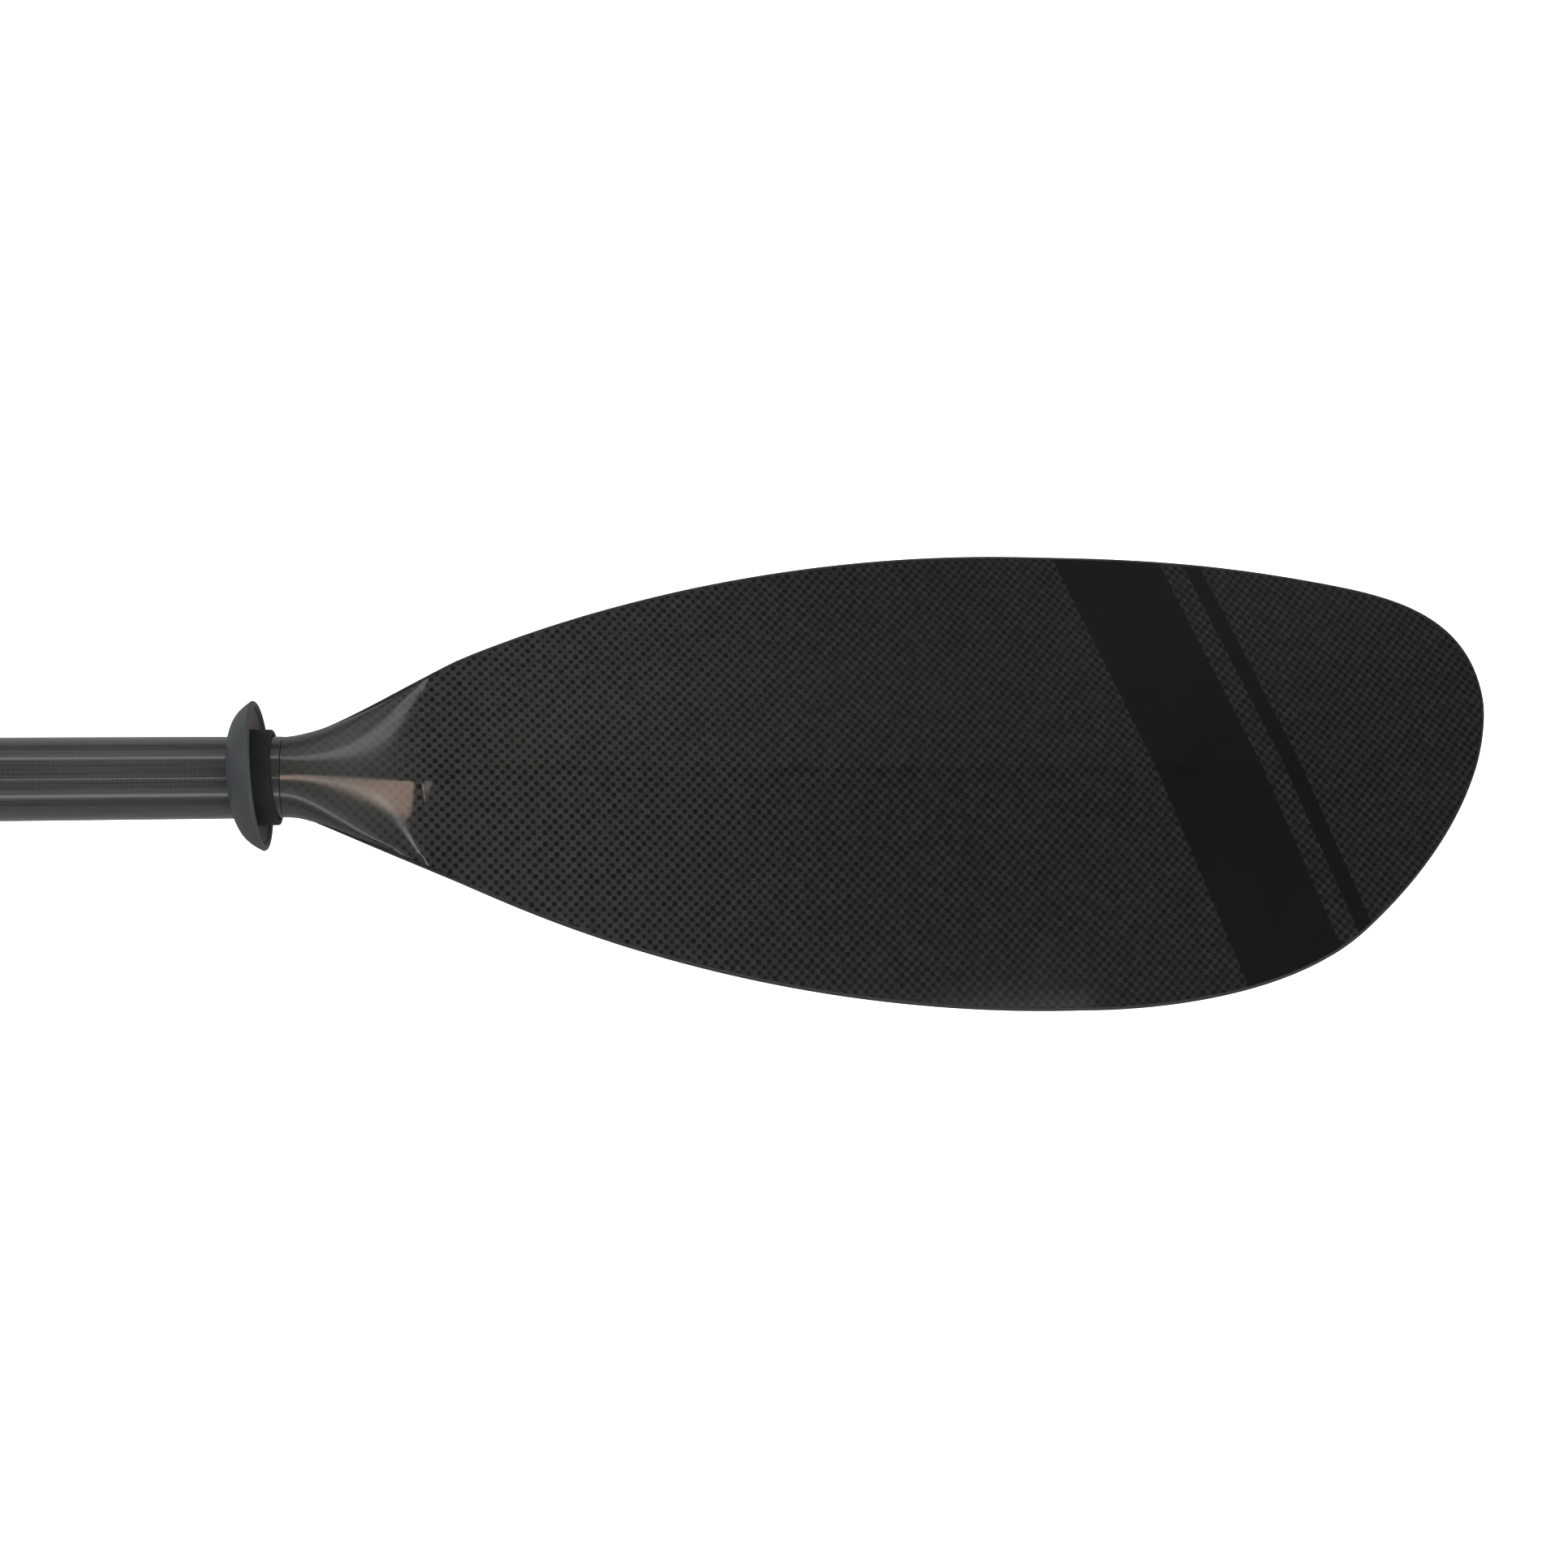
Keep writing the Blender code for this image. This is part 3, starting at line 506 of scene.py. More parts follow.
RIB_DEPTH = 14.0
RIB_END_HALF_WIDTH = 5.0
ROWS = 30
STRETCH_POINTS = 61
PLATE_COLUMNS = 60
TIP_COLUMNS = 70
FOLD_COLUMNS_U = (40.0, 62.0)
RIM_INSET_U = 8.0
RIM_INSET_RUN = 30.0
HALF_GAP = 0.04
CORE_START_U = 45.0
CORE_ROWS = 25
CORE_GAP = 0.3
SCOOP_LOW = -7.5
SCOOP_CENTRE_U = 295.0
SCOOP_RADIUS = 2100.0
DIHEDRAL_U = (FOLD_U, 62.0, 150.0, 300.0, BLADE_LENGTH)
DIHEDRAL = (0.16, 0.105, 0.09, 0.09, 0.03)
RIDGE_HALF = 4.5
RIDGE_U = (FOLD_U, 75.0)
RIDGE_V = (-2.0, 2.5)
CREASE_END_U = 58.0
RIM_START_U = 12.0
RIM_FADE = 28.0
RIM_BULGE = 0.75
RIM_STEPS = 8


def outline_curve():
    """The outline as (n, 2) points in mm, from the neck's +Y side round the tip to its -Y side."""
    t = np.linspace(0, 1, STRETCH_POINTS)[:, None]
    stretches = []
    for a, b, c, d in (np.array(segment, float) for segment in OUTLINE):
        stretch = a * (1 - t) ** 3 + 3 * b * t * (1 - t) ** 2 + 3 * c * t * t * (1 - t) + d * t**3
        stretches.append(stretch[:-1])
    return np.vstack(stretches + [np.array([OUTLINE[-1][3]], float)])


CURVE = outline_curve()
TIP = int(CURVE[:, 0].argmax())
UPPER = CURVE[: TIP + 1]
LOWER = CURVE[: TIP - 1 : -1]


def reach(u, upper):
    """Signed half width of the blade at the stations u."""
    side = UPPER if upper else LOWER
    return np.interp(u, side[:, 0], side[:, 1])


def edge_columns():
    """(middle, edge, inward normal) of each column of the blade's mesh, as (n, 2) arrays in mm."""
    fold_start, fold_end = FOLD_COLUMNS_U
    neck, fold = np.arange(3, fold_start, 2.0), np.arange(fold_start, fold_end, 1.0)
    stations = np.concatenate([[SEAM_U], neck, fold, np.linspace(fold_end, FAN_U, PLATE_COLUMNS)])
    upper = np.stack([stations, reach(stations, True)], 1)
    lower = np.stack([stations, reach(stations, False)], 1)[::-1]
    tip = np.vstack([upper[-1:], CURVE[CURVE[:, 0] > FAN_U], lower[:1]])
    run = np.concatenate([[0], np.cumsum(np.hypot(*np.diff(tip, axis=0).T))])
    places = np.linspace(0, run[-1], TIP_COLUMNS + 2)[1:-1]
    tip = np.stack([np.interp(places, run, tip[:, k]) for k in (0, 1)], 1)
    edge = np.vstack([upper, tip, lower])
    along = np.gradient(edge, axis=0)
    normal = np.stack([along[:, 1], -along[:, 0]], 1)
    normal /= np.hypot(*normal.T)[:, None]
    middle = np.stack([np.minimum(edge[:, 0], FAN_U), np.zeros(len(edge))], 1)
    return middle, edge, normal


MIDDLE, EDGE, NORMAL = edge_columns()


def neck_share(u):
    """0 at the neck's root, where the section is round, to 1 at the fold, where the plate begins."""
    run = u / FOLD_U
    near_fold = np.maximum(FOLD_SPREAD - np.abs(run - 1), 0) / FOLD_SPREAD
    return np.minimum(run, 1) - near_fold**2 * FOLD_SPREAD / 4


def plate_height(u, v, rounding, crease_slope):
    """Height of the plate beyond the fold: a shallow scoop along u with a ridge along its middle."""
    scoop = SCOOP_LOW + (u - SCOOP_CENTRE_U) ** 2 / (2 * SCOOP_RADIUS)
    off = v - np.interp(u, RIDGE_U, RIDGE_V)
    ridge = np.interp(u, DIHEDRAL_U, DIHEDRAL) * (np.hypot(off, rounding) - RIDGE_HALF)
    slope = np.interp(u, [FOLD_U, CREASE_END_U], [crease_slope, 0.0])
    return scoop - ridge - slope * CREASE_WIDTH * np.tanh(np.abs(off) / CREASE_WIDTH)


def plate_top(u, v):
    return plate_height(u, v, RIDGE_ROUNDING, CREASE_SLOPE)


def plate_bottom(u, v, rho):
    """Height of the back face beyond the fold, with the rib that runs out of the neck."""
    run = np.clip((u - FOLD_U) / (RIB_END_U - FOLD_U), 0, 1)
    half_width = NECK_RADIUS + (RIB_END_HALF_WIDTH - NECK_RADIUS) * run
    crown = np.maximum(1 - (v / half_width) ** 2, 0) ** 1.5
    middle = plate_height(u, v, BACK_ROUNDING, 0.0)
    return middle - EDGE_THICKNESS - CENTRE_EXTRA * (1 - rho**4) - RIB_DEPTH * (1 - run) ** 1.5 * crown


def blade_layer(face, depth, rim):
    """(columns, rows, 3) points of one surface in mm: face 1 or -1, depth 0 outside to 1 inside."""
    share = neck_share(EDGE[:, 0])[:, None]
    t = np.linspace(0, 1, ROWS)[None, :]
    rho = (1 - share) * np.sin(t * math.pi / 2) + share * t**1.5
    rim_share = np.clip((EDGE[:, :1] - RIM_INSET_U) / RIM_INSET_RUN, 0, 1)
    inset = rim * rim_share + NECK_WALL * (1 - share) * depth
    edge = EDGE + NORMAL * inset
    place = MIDDLE[:, None, :] + (edge - MIDDLE)[:, None, :] * rho[:, :, None]
    u, v = place[..., 0], place[..., 1]
    at_fold = np.where(EDGE[:, 1] > 0, reach(FOLD_U, True), reach(FOLD_U, False))[:, None]
    in_neck = EDGE[:, :1] < FOLD_U
    plan_v = np.where(in_neck, rho * at_fold, v)
    plan_u = np.maximum(u, FOLD_U)
    plate = plate_top(plan_u, plan_v) if face > 0 else plate_bottom(plan_u, plan_v, rho)
    radius = NECK_RADIUS - NECK_WALL * depth
    dome = radius * np.sqrt(np.maximum(1 - rho**2, 0)) + HALF_GAP
    height = (1 - share) * dome * face + share * (plate - face * SKIN * depth)
    return np.stack([u, v, height], -1)


def fabric_place(layer):
    """Where the cloth's tows lie: run along the blade and arc length across, a little sheared."""
    u, v = layer[..., 0], layer[..., 1]
    steps = np.hypot(np.diff(v, axis=1), np.diff(layer[..., 2], axis=1))
    across = np.concatenate([np.zeros((len(v), 1)), np.cumsum(steps, axis=1)], 1)
    across *= np.sign(EDGE[:, 1])[:, None]
    root_shear, more_at_tip, half_width = 0.03, 0.12, 93
    shear = (root_shear + more_at_tip * u / BLADE_LENGTH) * (0.75 + 0.25 * v / half_width)
    fan = EDGE[:, :1] >= FAN_U
    across = np.where(fan, v, across)
    return np.stack([u + shear * across, across, np.zeros_like(u)], -1)


def weld(points, faces, *more):
    """The same faces on shared points, without those that collapse where the columns meet."""
    keys = np.round(points, 4)
    _, first, index = np.unique(keys, axis=0, return_index=True, return_inverse=True)
    index = index.reshape(-1)
    kept = []
    for face in faces:
        corners = list(dict.fromkeys(index[i] for i in face))
        if len(corners) > 2:
            kept.append(corners)
    return points[first], kept, *[values[first] for values in more]


def grid_faces(columns, rows, start=0):
    """Faces of a grid whose points are numbered column by column from start."""
    faces = []
    for i in range(columns - 1):
        for j in range(rows - 1):
            here, there = start + i * rows + j, start + (i + 1) * rows + j
            faces.append((here, here + 1, there + 1, there))
    return faces


def shell(outer, inner):
    """Points and faces of the closed body between two layers of the same columns and rows."""
    columns, rows = outer.shape[:2]
    size = columns * rows
    points = np.vstack([outer.reshape(-1, 3), inner.reshape(-1, 3)])
    faces = grid_faces(columns, rows) + grid_faces(columns, rows, size)
    last = rows - 1
    for i in range(columns - 1):
        a, b = i * rows + last, (i + 1) * rows + last
        faces.append((a, b, size + b, size + a))
    for i in (0, columns - 1):
        for j in range(last):
            a = i * rows + j
            faces.append((a, a + 1, size + a + 1, size + a))
    return points, faces


def skin_mesh(face):
    """Points, faces, tow places and plan places of one laminate skin."""
    outer, inner = blade_layer(face, 0.0, RIM_WIDTH), blade_layer(face, 1.0, RIM_WIDTH)
    points, faces = shell(outer, inner)
    tows = np.vstack([fabric_place(outer).reshape(-1, 3), fabric_place(inner).reshape(-1, 3)])
    return weld(points, faces, tows, points.copy())


def core_mesh():
    """Points and faces of the foam between the skins, a little clear of each."""
    used = np.flatnonzero(EDGE[:, 0] >= CORE_START_U)
    layers = []
    for face in (1, -1):
        inner = blade_layer(face, 1.0, RIM_WIDTH)[used, :CORE_ROWS]
        layers.append(inner - (0, 0, face * CORE_GAP))
    return weld(*shell(*layers))


def rim_mesh():
    """The black band round the blade's edge: a rounded bead that fades out on the neck."""
    used = np.flatnonzero(EDGE[:, 0] >= RIM_START_U)
    top = blade_layer(1, 0.0, 0.0)[used, -1, 2]
    bottom = blade_layer(-1, 0.0, 0.0)[used, -1, 2]
    fade = np.clip((EDGE[used, 0] - RIM_START_U + 2) / RIM_FADE, 0.12, 1)
    angles = np.linspace(-math.pi / 2, math.pi / 2, RIM_STEPS + 1)
    section = [(RIM_BULGE * (1 - math.cos(a)), 0.5 + 0.5 * math.sin(a)) for a in angles]
    section += [(RIM_WIDTH, 1.0), (RIM_WIDTH, 0.0)]
    points = []
    for k, column in enumerate(used):
        for inset, fall in section:
            spot = EDGE[column] + NORMAL[column] * inset * fade[k]
            points.append((spot[0], spot[1], top[k] + (bottom[k] - top[k]) * fall))
    count = len(section)
    faces = [tuple(range(count)), tuple(range(len(points) - count, len(points)))]
    for i in range(len(used) - 1):
        for j in range(count):
            k = (j + 1) % count
            faces.append((i * count + j, i * count + k, (i + 1) * count + k, (i + 1) * count + j))
    return np.array(points), faces


def to_end(points, side):
    """Blade points in mm moved to their own end of the paddle, in metres."""
    moved = np.array(points, float) * MM
    moved[:, 0] = side * (moved[:, 0] + ROOT_X)
    return moved


def make_blade(prefix):
    """One end's blade: its two skins, the foam between them and the bead round its edge."""
    side = SIDES[prefix]
    for face, part in ((1, "power"), (-1, "back")):
        points, faces, tows, plan = skin_mesh(face)
        piece = make_piece(f"{prefix}_{part}_face", to_end(points, side), faces, f"{part}_laminate",
                           f"{prefix}_half", [f"{prefix}_blade_{part}_skin"], 60)
        set_vectors(piece, "fabric", tows)
        set_vectors(piece, "plan", plan)
    points, faces = core_mesh()
    make_piece(f"{prefix}_foam_core", to_end(points, side), faces, "foam", f"{prefix}_half",
               [f"{prefix}_blade_foam_core"], 60)
    points, faces = rim_mesh()
    make_piece(f"{prefix}_edge_band", to_end(points, side), faces, "edge", f"{prefix}_half",
               [f"{prefix}_blade_edge_rim"], 50)


# ---------------------------------------------------------------- shaft and drip rings

TUBE_WALL = 1.5
TUBE_CHAMFER = 0.08
CUP_STEPS = 16
LIP_STEPS = 12


def make_shaft(prefix):
    """One half's tube, with its streaks laid along it."""
    low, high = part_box(f"{prefix}_shaft_tube")
    radius = high.z / MM
    start, end = low.x / MM, high.x / MM
    stops = np.linspace(start + 1, end - 1, 40)
    profile = [(start, radius - TUBE_CHAMFER), (start + TUBE_CHAMFER, radius), *[(x, radius) for x in stops],
               (end - TUBE_CHAMFER, radius), (end, radius - TUBE_CHAMFER),
               (end, radius - TUBE_WALL), (start, radius - TUBE_WALL)]
    points, faces = turned(profile, (0, 0, 0), (1, 0, 0), 128)
    tube = make_piece(f"{prefix}_tube", points, faces, "tube", f"{prefix}_half", [f"{prefix}_shaft_tube"],
                      30)
    around = [math.atan2(p.z, p.y) * radius for p in points]
    set_vectors(tube, "fabric", [(p.x / MM, s, 0) for p, s in zip(points, around)])


def ring_collar_profile():
    """Half section of the rubber collar about the ring's centre: a sleeve with soft corners."""
    bore, outer = 14.9, 17.1
    foot, end = 2.3, 13.9
    return rounded([(foot, bore, 0), (foot, bore + 0.8, 0.3), (foot + 2.2, outer, 0.8),
                    (end, outer, 0.9), (end, bore + 0.3, 0.3), (end - 0.4, bore, 0.2)])


def ring_cup_profile():
    """Half section of the cup about the ring's centre: a domed cone with a thick rounded lip."""
    foot, rim = -1.0, 7.6
    bore, foot_radius, cup_radius = 15.1, 15.8, 26.8
    floor, wall, floor_step = 1.4, 2.3, 0.5
    back_swell, side_swell = 1.2, 0.96
    rise = cup_radius - foot_radius
    outside, inside = [], []
    for i in range(CUP_STEPS + 1):
        t = i / CUP_STEPS
        back, out = back_swell * math.sin(math.pi * t), side_swell * math.sin(math.pi * t)
        outside.append((foot + (rim - foot) * t - back, foot_radius + rise * t + out))
        inside.append((floor + (rim - floor) * t - back,
                       foot_radius + floor_step + (rise - floor_step - wall) * t + out))
    lip = []
    for angle in np.linspace(0, math.pi, LIP_STEPS + 1)[1:-1]:
        lip.append((rim + wall / 2 * math.sin(angle), cup_radius - wall / 2 + wall / 2 * math.cos(angle)))
    return [*outside, *lip, *inside[::-1], (floor, bore), (foot + 0.3, bore), (foot, bore + 0.2)]


def make_drip_ring(prefix):
    """A ring's cup, turned about its leaning axis, and its collar, whose ends lean alike."""
    joint = JOINTS[f"{prefix}_ring_turn"]
    centre, axis = Vector(joint["pos_m"]), Vector(joint["axis"])
    profile = ring_cup_profile()
    points, faces = turned(profile, centre, axis, 144)
    cup = make_piece(f"{prefix}_drip_cup", points, faces, "cup", f"{prefix}_ring_cup", [f"{prefix}_ring_cup"],
                     35)
    lip_end = CUP_STEPS + LIP_STEPS
    # Marks the cup's inner faces, which get the painted lighter grey that stands in for light on the inner wall.
    set_vectors(cup, "inside", [(float(i % len(profile) > lip_end), 0, 0) for i in range(len(points))])
    points, faces = turned(ring_collar_profile(), centre, (SIDES[prefix], 0, 0), 128)
    lean_y, lean_z = axis.y / axis.x, axis.z / axis.x
    leaning = []
    for point in points:
        off = point - centre
        leaning.append(point - Vector((lean_y * off.y + lean_z * off.z, 0, 0)))
    make_piece(f"{prefix}_drip_collar", leaning, faces, "collar", f"{prefix}_ring_collar",
               [f"{prefix}_ring_collar"], 35)


# ---------------------------------------------------------------- the joint in the middle

SHAFT_RADIUS = 14.6
SHAFT_BORE = 13.1
FERRULE = 12.0
FERRULE_BORE = 10.5
AROUND_FERRULE = 12.3
CLAMP_X = (-34.0, 2.0)
CLAMP_RADIUS = 18.5
CLAMP_BORE = 14.9
EAR_X = (-28.0, -6.0)
EAR_Y = (12.0, 30.0)
EAR_Z = 8.0
PAD_X = (-27.0, -5.0)
PAD_Y = 7.0
PAD_Z = (-19.5, -12.0)
GAP_START_Y = 5.0
GAP_HALF = 1.5
SCREW = Vector((-17.0, 24.0, 0.0))
SCREW_HOLE = 2.3
PIVOT_Z = 13.6
PIN_HOLE = 2.5
CAM_RADIUS = 3.6
CAM_OFFSET = 0.4
LEVER_HALF = 8.0
LEVER_INNER = 19.3
LEVER_OUTER = 22.3
LEVER_ARM = (62, 148)
SPARE = 5.0


def make_ferrule():
    """The wound inner tube with its bonded step, and the plastic and rubber rings that guide it."""
    nose, step, bonded = -178.0, 3.7, 90.0
    snug, bush_bore = SHAFT_BORE - 0.3, 8.0
    tube = [(nose, FERRULE_BORE, 0.3), (nose, FERRULE, 0.6), (step, FERRULE, 0), (step, snug, 0.3),
            (bonded, snug, 0.5), (bonded, FERRULE_BORE, 0)]
    liner = [(-44, AROUND_FERRULE, 0.2), (-44, snug, 0.2), (-4, snug, 0.2), (-4, AROUND_FERRULE, 0.2)]
    seal = [(-2.7, AROUND_FERRULE, 0.2), (-2.7, SHAFT_RADIUS, 0.2), (1.0, SHAFT_RADIUS, 0.9),
            (1.0, AROUND_FERRULE, 0.7)]
    bush = [(-180.3, bush_bore, 0.4), (-180.3, snug, 0.6), (-160.3, snug, 0.4), (-160.3, AROUND_FERRULE, 0.2),
            (-178.3, AROUND_FERRULE, 0.2), (-178.3, bush_bore, 0.4)]
    for name, corners, look, body, node, slot in (
            ("inner_tube", tube, "glass", "right_half", "ferrule_tube", "glass_laminate"),
            ("guide_liner", liner, "nylon", "left_half", "ferrule_liner", "nylon"),
            ("mouth_seal", seal, "collar", "left_half", "wiper_seal", "black_rubber"),
            ("end_bush", bush, "nylon", "guide_bush", "guide_bush", "nylon")):
        points, faces = turned(rounded(corners), (0, 0, 0), (1, 0, 0))
        make_piece(name, points, faces, look, body, [node])


def make_clamp_body():
    """The split collar: a rounded band, two ears with a gap between them and a flat pad underneath."""
    back, front = CLAMP_X
    profile = rounded([(back, CLAMP_BORE, 0.4), (back, CLAMP_RADIUS, 1.4), (front, CLAMP_RADIUS, 1.4),
                       (front, CLAMP_BORE, 0.4)])
    collar = raw_solid("split_collar", *turned(profile, (0, 0, 0), (1, 0, 0), 120))
    ears = block((EAR_X[0], EAR_Y[0], -EAR_Z), (EAR_X[1], EAR_Y[1], EAR_Z), 1.5)
    pad = block((PAD_X[0], -PAD_Y, PAD_Z[0]), (PAD_X[1], PAD_Y, PAD_Z[1]), 0.8)
    combine(collar, "UNION", [ears, pad])
    bore = rod((back - SPARE, 0, 0), (front + SPARE, 0, 0), CLAMP_BORE)
    gap = block((back - SPARE, GAP_START_Y, -GAP_HALF), (front + SPARE, EAR_Y[1] + SPARE, GAP_HALF))
    hole = rod((*SCREW.xy, -EAR_Z - SPARE), (*SCREW.xy, EAR_Z + SPARE), SCREW_HOLE)
    combine(collar, "DIFFERENCE", [bore, gap, hole])
    finish_piece(collar, "plastic", "left_half", ["clamp_body"], 35)


def arc(centre, radius, start, end, steps):
    """Points (y, z) of an arc seen along the shaft, between two angles in degrees."""
    angles = np.radians(np.linspace(start, end, steps))
    return [(centre[0] + radius * math.cos(angle), centre[1] + radius * math.sin(angle)) for angle in angles]


def lever_outline():
    """The lever seen along the shaft, as (y, z): a cam round the pin, then an arm that hugs the collar."""
    root, tip = LEVER_ARM
    middle, half = (LEVER_INNER + LEVER_OUTER) / 2, (LEVER_OUTER - LEVER_INNER) / 2
    tip_centre = middle * math.cos(math.radians(tip)), middle * math.sin(math.radians(tip))
    cam = arc((SCREW.y, PIVOT_Z - CAM_OFFSET), CAM_RADIUS, 80, -170, 33)
    inside = arc((0, 0), LEVER_INNER, root, tip, 25)
    end = arc(tip_centre, half, tip + 180, tip, 13)[1:-1]
    outside = arc((0, 0), LEVER_OUTER, tip, root, 25)
    return cam + inside + end + outside


def make_lever():
    """The cam lever, forked over the screw, with grip grooves across its tip."""
    fork_half, fork_reach = 3.0, 7.0
    groove_angles, groove_place, groove_radius, groove_inset = (122, 129, 136), 22.7, 0.9, 2.5
    outline = lever_outline()
    count = len(outline)
    near, far = SCREW.x - LEVER_HALF, SCREW.x + LEVER_HALF
    points = [Vector((x, y, z)) * MM for x in (near, far) for y, z in outline]
    faces = [(i, (i + 1) % count, count + (i + 1) % count, count + i) for i in range(count)]
    faces += [tuple(range(count)), tuple(range(count, 2 * count))]
    lever = raw_solid("cam_lever", points, faces, 0.7)
    pin = Vector((SCREW.x, SCREW.y, PIVOT_Z))
    fork_corner = Vector((fork_half, fork_reach, fork_reach))
    cuts = [block(pin - fork_corner, pin + fork_corner),
            rod((near - SPARE, SCREW.y, PIVOT_Z), (far + SPARE, SCREW.y, PIVOT_Z), PIN_HOLE)]
    for degrees in groove_angles:
        angle = math.radians(degrees)
        y, z = groove_place * math.cos(angle), groove_place * math.sin(angle)
        cuts.append(rod((near + groove_inset, y, z), (far - groove_inset, y, z), groove_radius))
    combine(lever, "DIFFERENCE", cuts)
    finish_piece(lever, "plastic", "clamp_lever", ["clamp_lever"], 35)


def threaded(length, radius, pitch, depth, start):
    """Half section of a rod along its own length: plain up to start, then threaded."""
    corners = [(0.0, 0.0), (0.0, radius - 0.4), (0.4, radius)]
    x = start
    while x + pitch < length:
        corners += [(x, radius), (x + pitch / 2, radius - depth)]
        x += pitch
    return corners + [(length - 0.4, radius - depth), (length, radius - depth - 0.3), (length, 0.0)]


def make_screw_parts():
    """The clamp's steel: a threaded screw, the pin it hangs from and the plate under the cam."""
    top, end = PIVOT_Z - 2.5, -16.3
    profile = threaded(top - end, radius=2.0, pitch=0.7, depth=0.3, start=9.0)
    points, faces = turned(profile, (SCREW + Vector((0, 0, top))) * MM, (0, 0, -1), 48)
    make_piece("tension_screw", points, faces, "steel", "left_half", ["clamp_screw"], 25)
    start = Vector((SCREW.x - LEVER_HALF, SCREW.y, PIVOT_Z))
    length, radius = 2 * LEVER_HALF, 2.2
    profile = rounded([(0, 0.0, 0), (0, radius, 0.5), (length, radius, 0.5), (length, 0.0, 0)])
    points, faces = turned(profile, start * MM, (1, 0, 0), 48)
    make_piece("barrel_pin", points, faces, "steel", "left_half", ["lever_pin"])
    half_x, half_y, bottom, thickness = 9.0, 4.5, 8.3, 1.0
    plate = block((SCREW.x - half_x, SCREW.y - half_y, bottom),
                  (SCREW.x + half_x, SCREW.y + half_y, bottom + thickness), 0.25)
    combine(plate, "DIFFERENCE", [rod((*SCREW.xy, bottom - SPARE), (*SCREW.xy, bottom + SPARE), SCREW_HOLE)])
    plate.name = "cam_plate"
    finish_piece(plate, "steel", "left_half", ["cam_saddle"])


def make_nut():
    """The thumb nut: twelve soft lobes with rounded rims round a plain bore."""
    lobes, swell, top_z, height, radius = 12, 0.6, -8.3, 6.0, 5.4
    profile = rounded([(0, SCREW_HOLE, 0), (0, radius, 0.9), (height, radius, 0.9), (height, SCREW_HOLE, 0)])
    points, faces = turned(profile, (0, 0, 0), (0, 0, -1), 144)
    shaped = []
    for point in points:
        off = point / MM
        around = math.atan2(off.y, off.x)
        share = (off.xy.length - SCREW_HOLE) / (radius - SCREW_HOLE)
        scale = 1 + swell * math.cos(lobes * around) * share / off.xy.length
        shaped.append((SCREW + Vector((off.x * scale, off.y * scale, off.z + top_z))) * MM)
    make_piece("thumb_nut", shaped, faces, "plastic", "adjuster_nut", ["adjuster_nut"], 50)


# ---------------------------------------------------------------- stage

NECK_PLACE = (0.85, 0.0, 0.0)


def add_softbox(name, direction, distance, size, radiance, mirrored=False, target=NECK_PLACE):
    """A rectangular light in a direction from the target. Only a mirrored one shows up in glossy surfaces."""
    lamp = bpy.data.lights.new(name, "AREA")
    lamp.shape = "RECTANGLE"
    lamp.size, lamp.size_y = size
    lamp.energy = radiance * math.pi * size[0] * size[1]
    obj = bpy.data.objects.new(name, lamp)
    bpy.context.scene.collection.objects.link(obj)
    outward = Vector(direction).normalized()
    obj.location = Vector(target) + outward * distance
    along = Vector((1, 0, 0))
    along = (along - along.dot(outward) * outward).normalized()
    turn = Matrix((along, outward.cross(along), outward)).transposed()
    obj.rotation_euler = turn.to_euler()
    obj.visible_camera = False
    obj.visible_glossy = mirrored


def leaning(x_angle, y_angle):
    """The direction that leans from straight up by these angles in degrees, towards +X and towards +Y."""
    return math.tan(math.radians(x_angle)), math.tan(math.radians(y_angle)), 1.0


# Things in the room that the resin mirrors: their angles from straight up towards +X and +Y, the softness of
# their edges and their colour.
REFLECTIONS = (((9.7, 16.5), (-21.0, -8.0), 0.012, (4.4, 3.15, 2.45)),
               ((16.8, 30.0), (-12.0, -4.0), 0.03, (1.7, 1.75, 1.8)),
               ((9.0, 24.0), (18.0, 31.0), 0.10, (0.19, 0.155, 0.11)))


LAMP_DISTANCE = 2.2
STRIP_DISTANCE = 1.5
STRIP_LENGTH = 3.0


def make_lights():
    """Large soft lights off the blades' ends, in front and below, and long mirrored strips over the shaft."""
    for name, direction, size, radiance in (("key_light", (-0.80, 0.30, 0.52), 1.5, 5.5),
                                            ("fill_light", (0.86, -0.05, 0.50), 1.5, 4.0),
                                            ("low_light", (0.45, -0.75, 0.40), 1.0, 5.0)):
        add_softbox(name, direction, LAMP_DISTANCE, (size, size), radiance)
    for name, angle, width, radiance in (("upper_strip", 44.5, 0.22, 1.6),
                                         ("middle_strip", -14.5, 0.05, 3.2),
                                         ("lower_strip", -61.5, 0.22, 2.0)):
        add_softbox(name, leaning(0, angle), STRIP_DISTANCE, (STRIP_LENGTH, width), radiance, mirrored=True)
    add_softbox("under_light", (-0.1, 0.2, -1.0), LAMP_DISTANCE, (2.5, 2.0), 6.0, target=(0.0, 0.0, 0.0))


FLOOR_DROP = 0.10
FLOOR_HALF = 12.0
FLOOR_GREY = (0.3, 0.3, 0.3)
FLOOR_SEEN = (0.9, 0.9, 0.9)
ROOM_DARK = (0.09, 0.09, 0.09)
ROOM_GREY = (0.48, 0.48, 0.48)
ROOM_SEEN = (1.2, 1.2, 1.2)


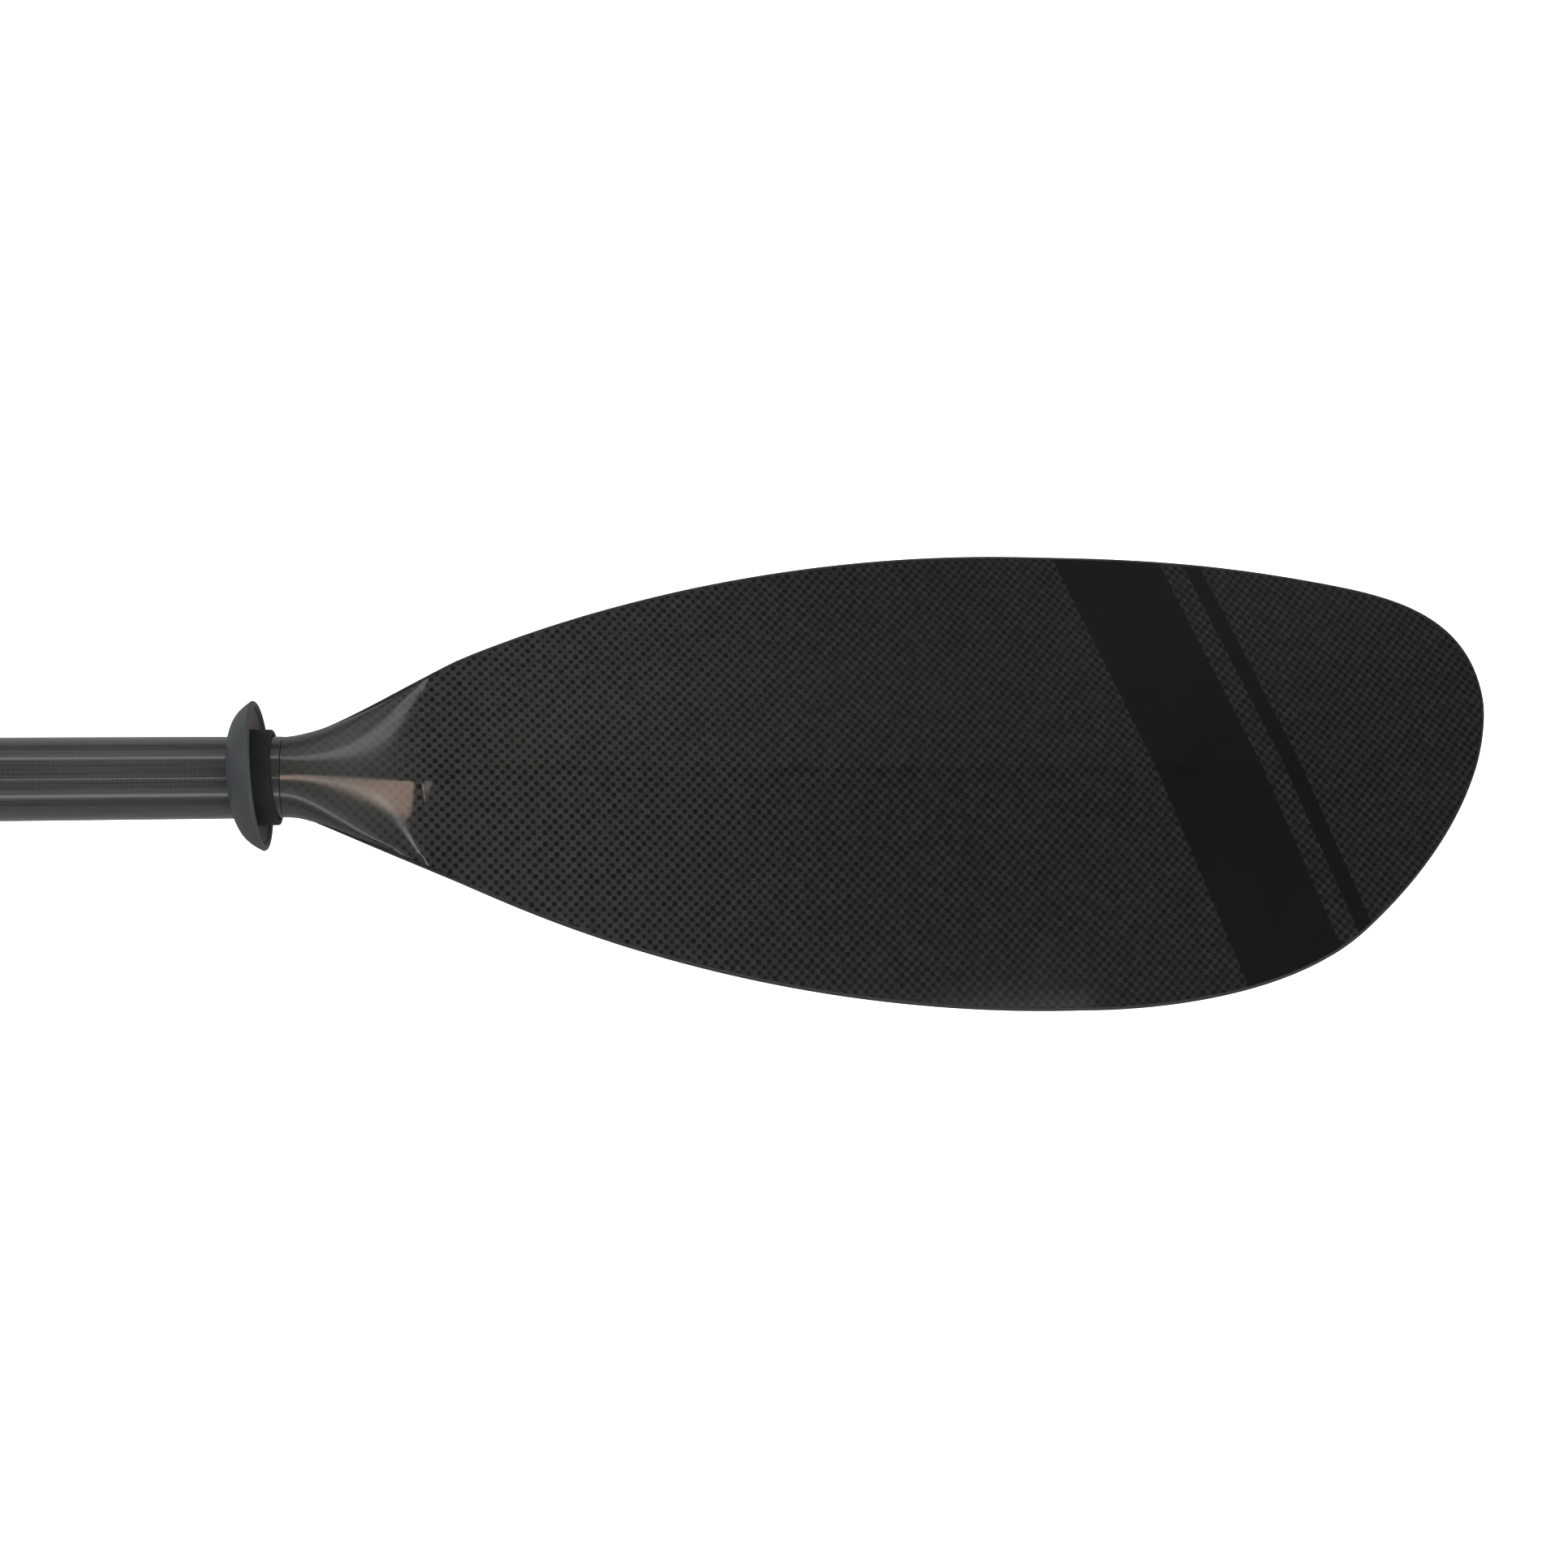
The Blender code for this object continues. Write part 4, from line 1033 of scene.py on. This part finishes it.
def make_floor():
    """A pale floor below the paddle, white to the camera from above and clear from underneath."""
    level = cad_box[0].z - FLOOR_DROP
    mesh = bpy.data.meshes.new("floor")
    corners = [(x * FLOOR_HALF, y * FLOOR_HALF, level) for x, y in ((-1, -1), (1, -1), (1, 1), (-1, 1))]
    mesh.from_pydata(corners, [], [(0, 1, 2, 3)])
    floor = bpy.data.objects.new("floor", mesh)
    bpy.context.scene.collection.objects.link(floor)
    look = Look("pale_floor")
    seen = look.node("ShaderNodeLightPath").outputs["Is Camera Ray"]
    underside = look.node("ShaderNodeNewGeometry").outputs["Backfacing"]
    mesh.materials.append(look.finish(Base_Color=look.mix(seen, FLOOR_GREY, FLOOR_SEEN), Roughness=0.9,
                                      Emission_Color=(1, 1, 1),
                                      Emission_Strength=look.math("MULTIPLY", seen, 0.9),
                                      Alpha=look.math("SUBTRACT", 1.0, underside)))


def make_room():
    """The world: white to the camera, and to everything else a dim room with a grey ring and REFLECTIONS."""
    world = bpy.data.worlds.new("studio")
    bpy.context.scene.world = world
    world.use_nodes = True
    room = Nodes(world.node_tree)
    seen = room.node("ShaderNodeLightPath").outputs["Is Camera Ray"]
    x, y, z = room.parts(room.node("ShaderNodeTexCoord").outputs["Generated"])
    ring = room.math("MULTIPLY", room.ramp(z, 0.80, 0.66), room.ramp(z, 0.22, 0.38))
    light = room.mix(ring, ROOM_DARK, ROOM_GREY)
    x, y = room.math("DIVIDE", x, z), room.math("DIVIDE", y, z)
    for x_range, y_range, soft, colour in REFLECTIONS:
        share = room.math("GREATER_THAN", z, 0.0)
        for value, angles in ((x, x_range), (y, y_range)):
            low, high = (math.tan(math.radians(angle)) for angle in angles)
            share = room.math("MULTIPLY", share, room.ramp(value, low, low + soft))
            share = room.math("MULTIPLY", share, room.ramp(value, high, high - soft))
        light = room.mix(share, light, colour)
    room.put(room.mix(seen, light, ROOM_SEEN), room.tree.nodes["Background"].inputs["Color"])


LENS = 41.0
SENSOR = 36.0
CAMERA_TILT = math.radians(13.5)
CAMERA_YAW = math.radians(10.4)
CAMERA_ROLL = 0.0085
CAMERA_PLACE = Vector((ROOT_X + 0.0617, -0.1541, 0.6397))


def make_camera():
    """The camera looks down on the right blade's neck, turned towards the tip and a little from below."""
    data = bpy.data.cameras.new("camera")
    data.sensor_width = SENSOR
    data.lens = LENS
    data.clip_start = 0.01
    camera = bpy.data.objects.new("camera", data)
    bpy.context.scene.collection.objects.link(camera)
    right = Vector((math.cos(CAMERA_YAW), CAMERA_ROLL, -math.sin(CAMERA_YAW))).normalized()
    up = Vector((0, math.cos(CAMERA_TILT), -math.sin(CAMERA_TILT)))
    up = (up - up.dot(right) * right).normalized()
    turn = Matrix((right, up, right.cross(up))).to_4x4()
    camera.matrix_world = Matrix.Translation(CAMERA_PLACE) @ turn
    bpy.context.scene.camera = camera


def dress_cad_nodes():
    """Gives the CAD nodes that are still shown, the plugs and spigots inside the shaft, their materials."""
    looks = {"foam": "foam", "glass_laminate": "glass"}
    slots = {entry["node"]: entry["material_slot"] for entry in frame["record"]["subparts"]}
    for node, obj in frame["nodes"].items():
        if not obj.hide_render:
            obj.data.materials.clear()
            obj.data.materials.append(LOOKS[looks[slots[node]]])


for prefix in SIDES:
    make_shaft(prefix)
    make_blade(prefix)
    make_drip_ring(prefix)
make_ferrule()
make_clamp_body()
make_lever()
make_screw_parts()
make_nut()
dress_cad_nodes()
make_floor()
make_room()
make_lights()
make_camera()
bpy.context.scene.view_settings.view_transform = "Standard"
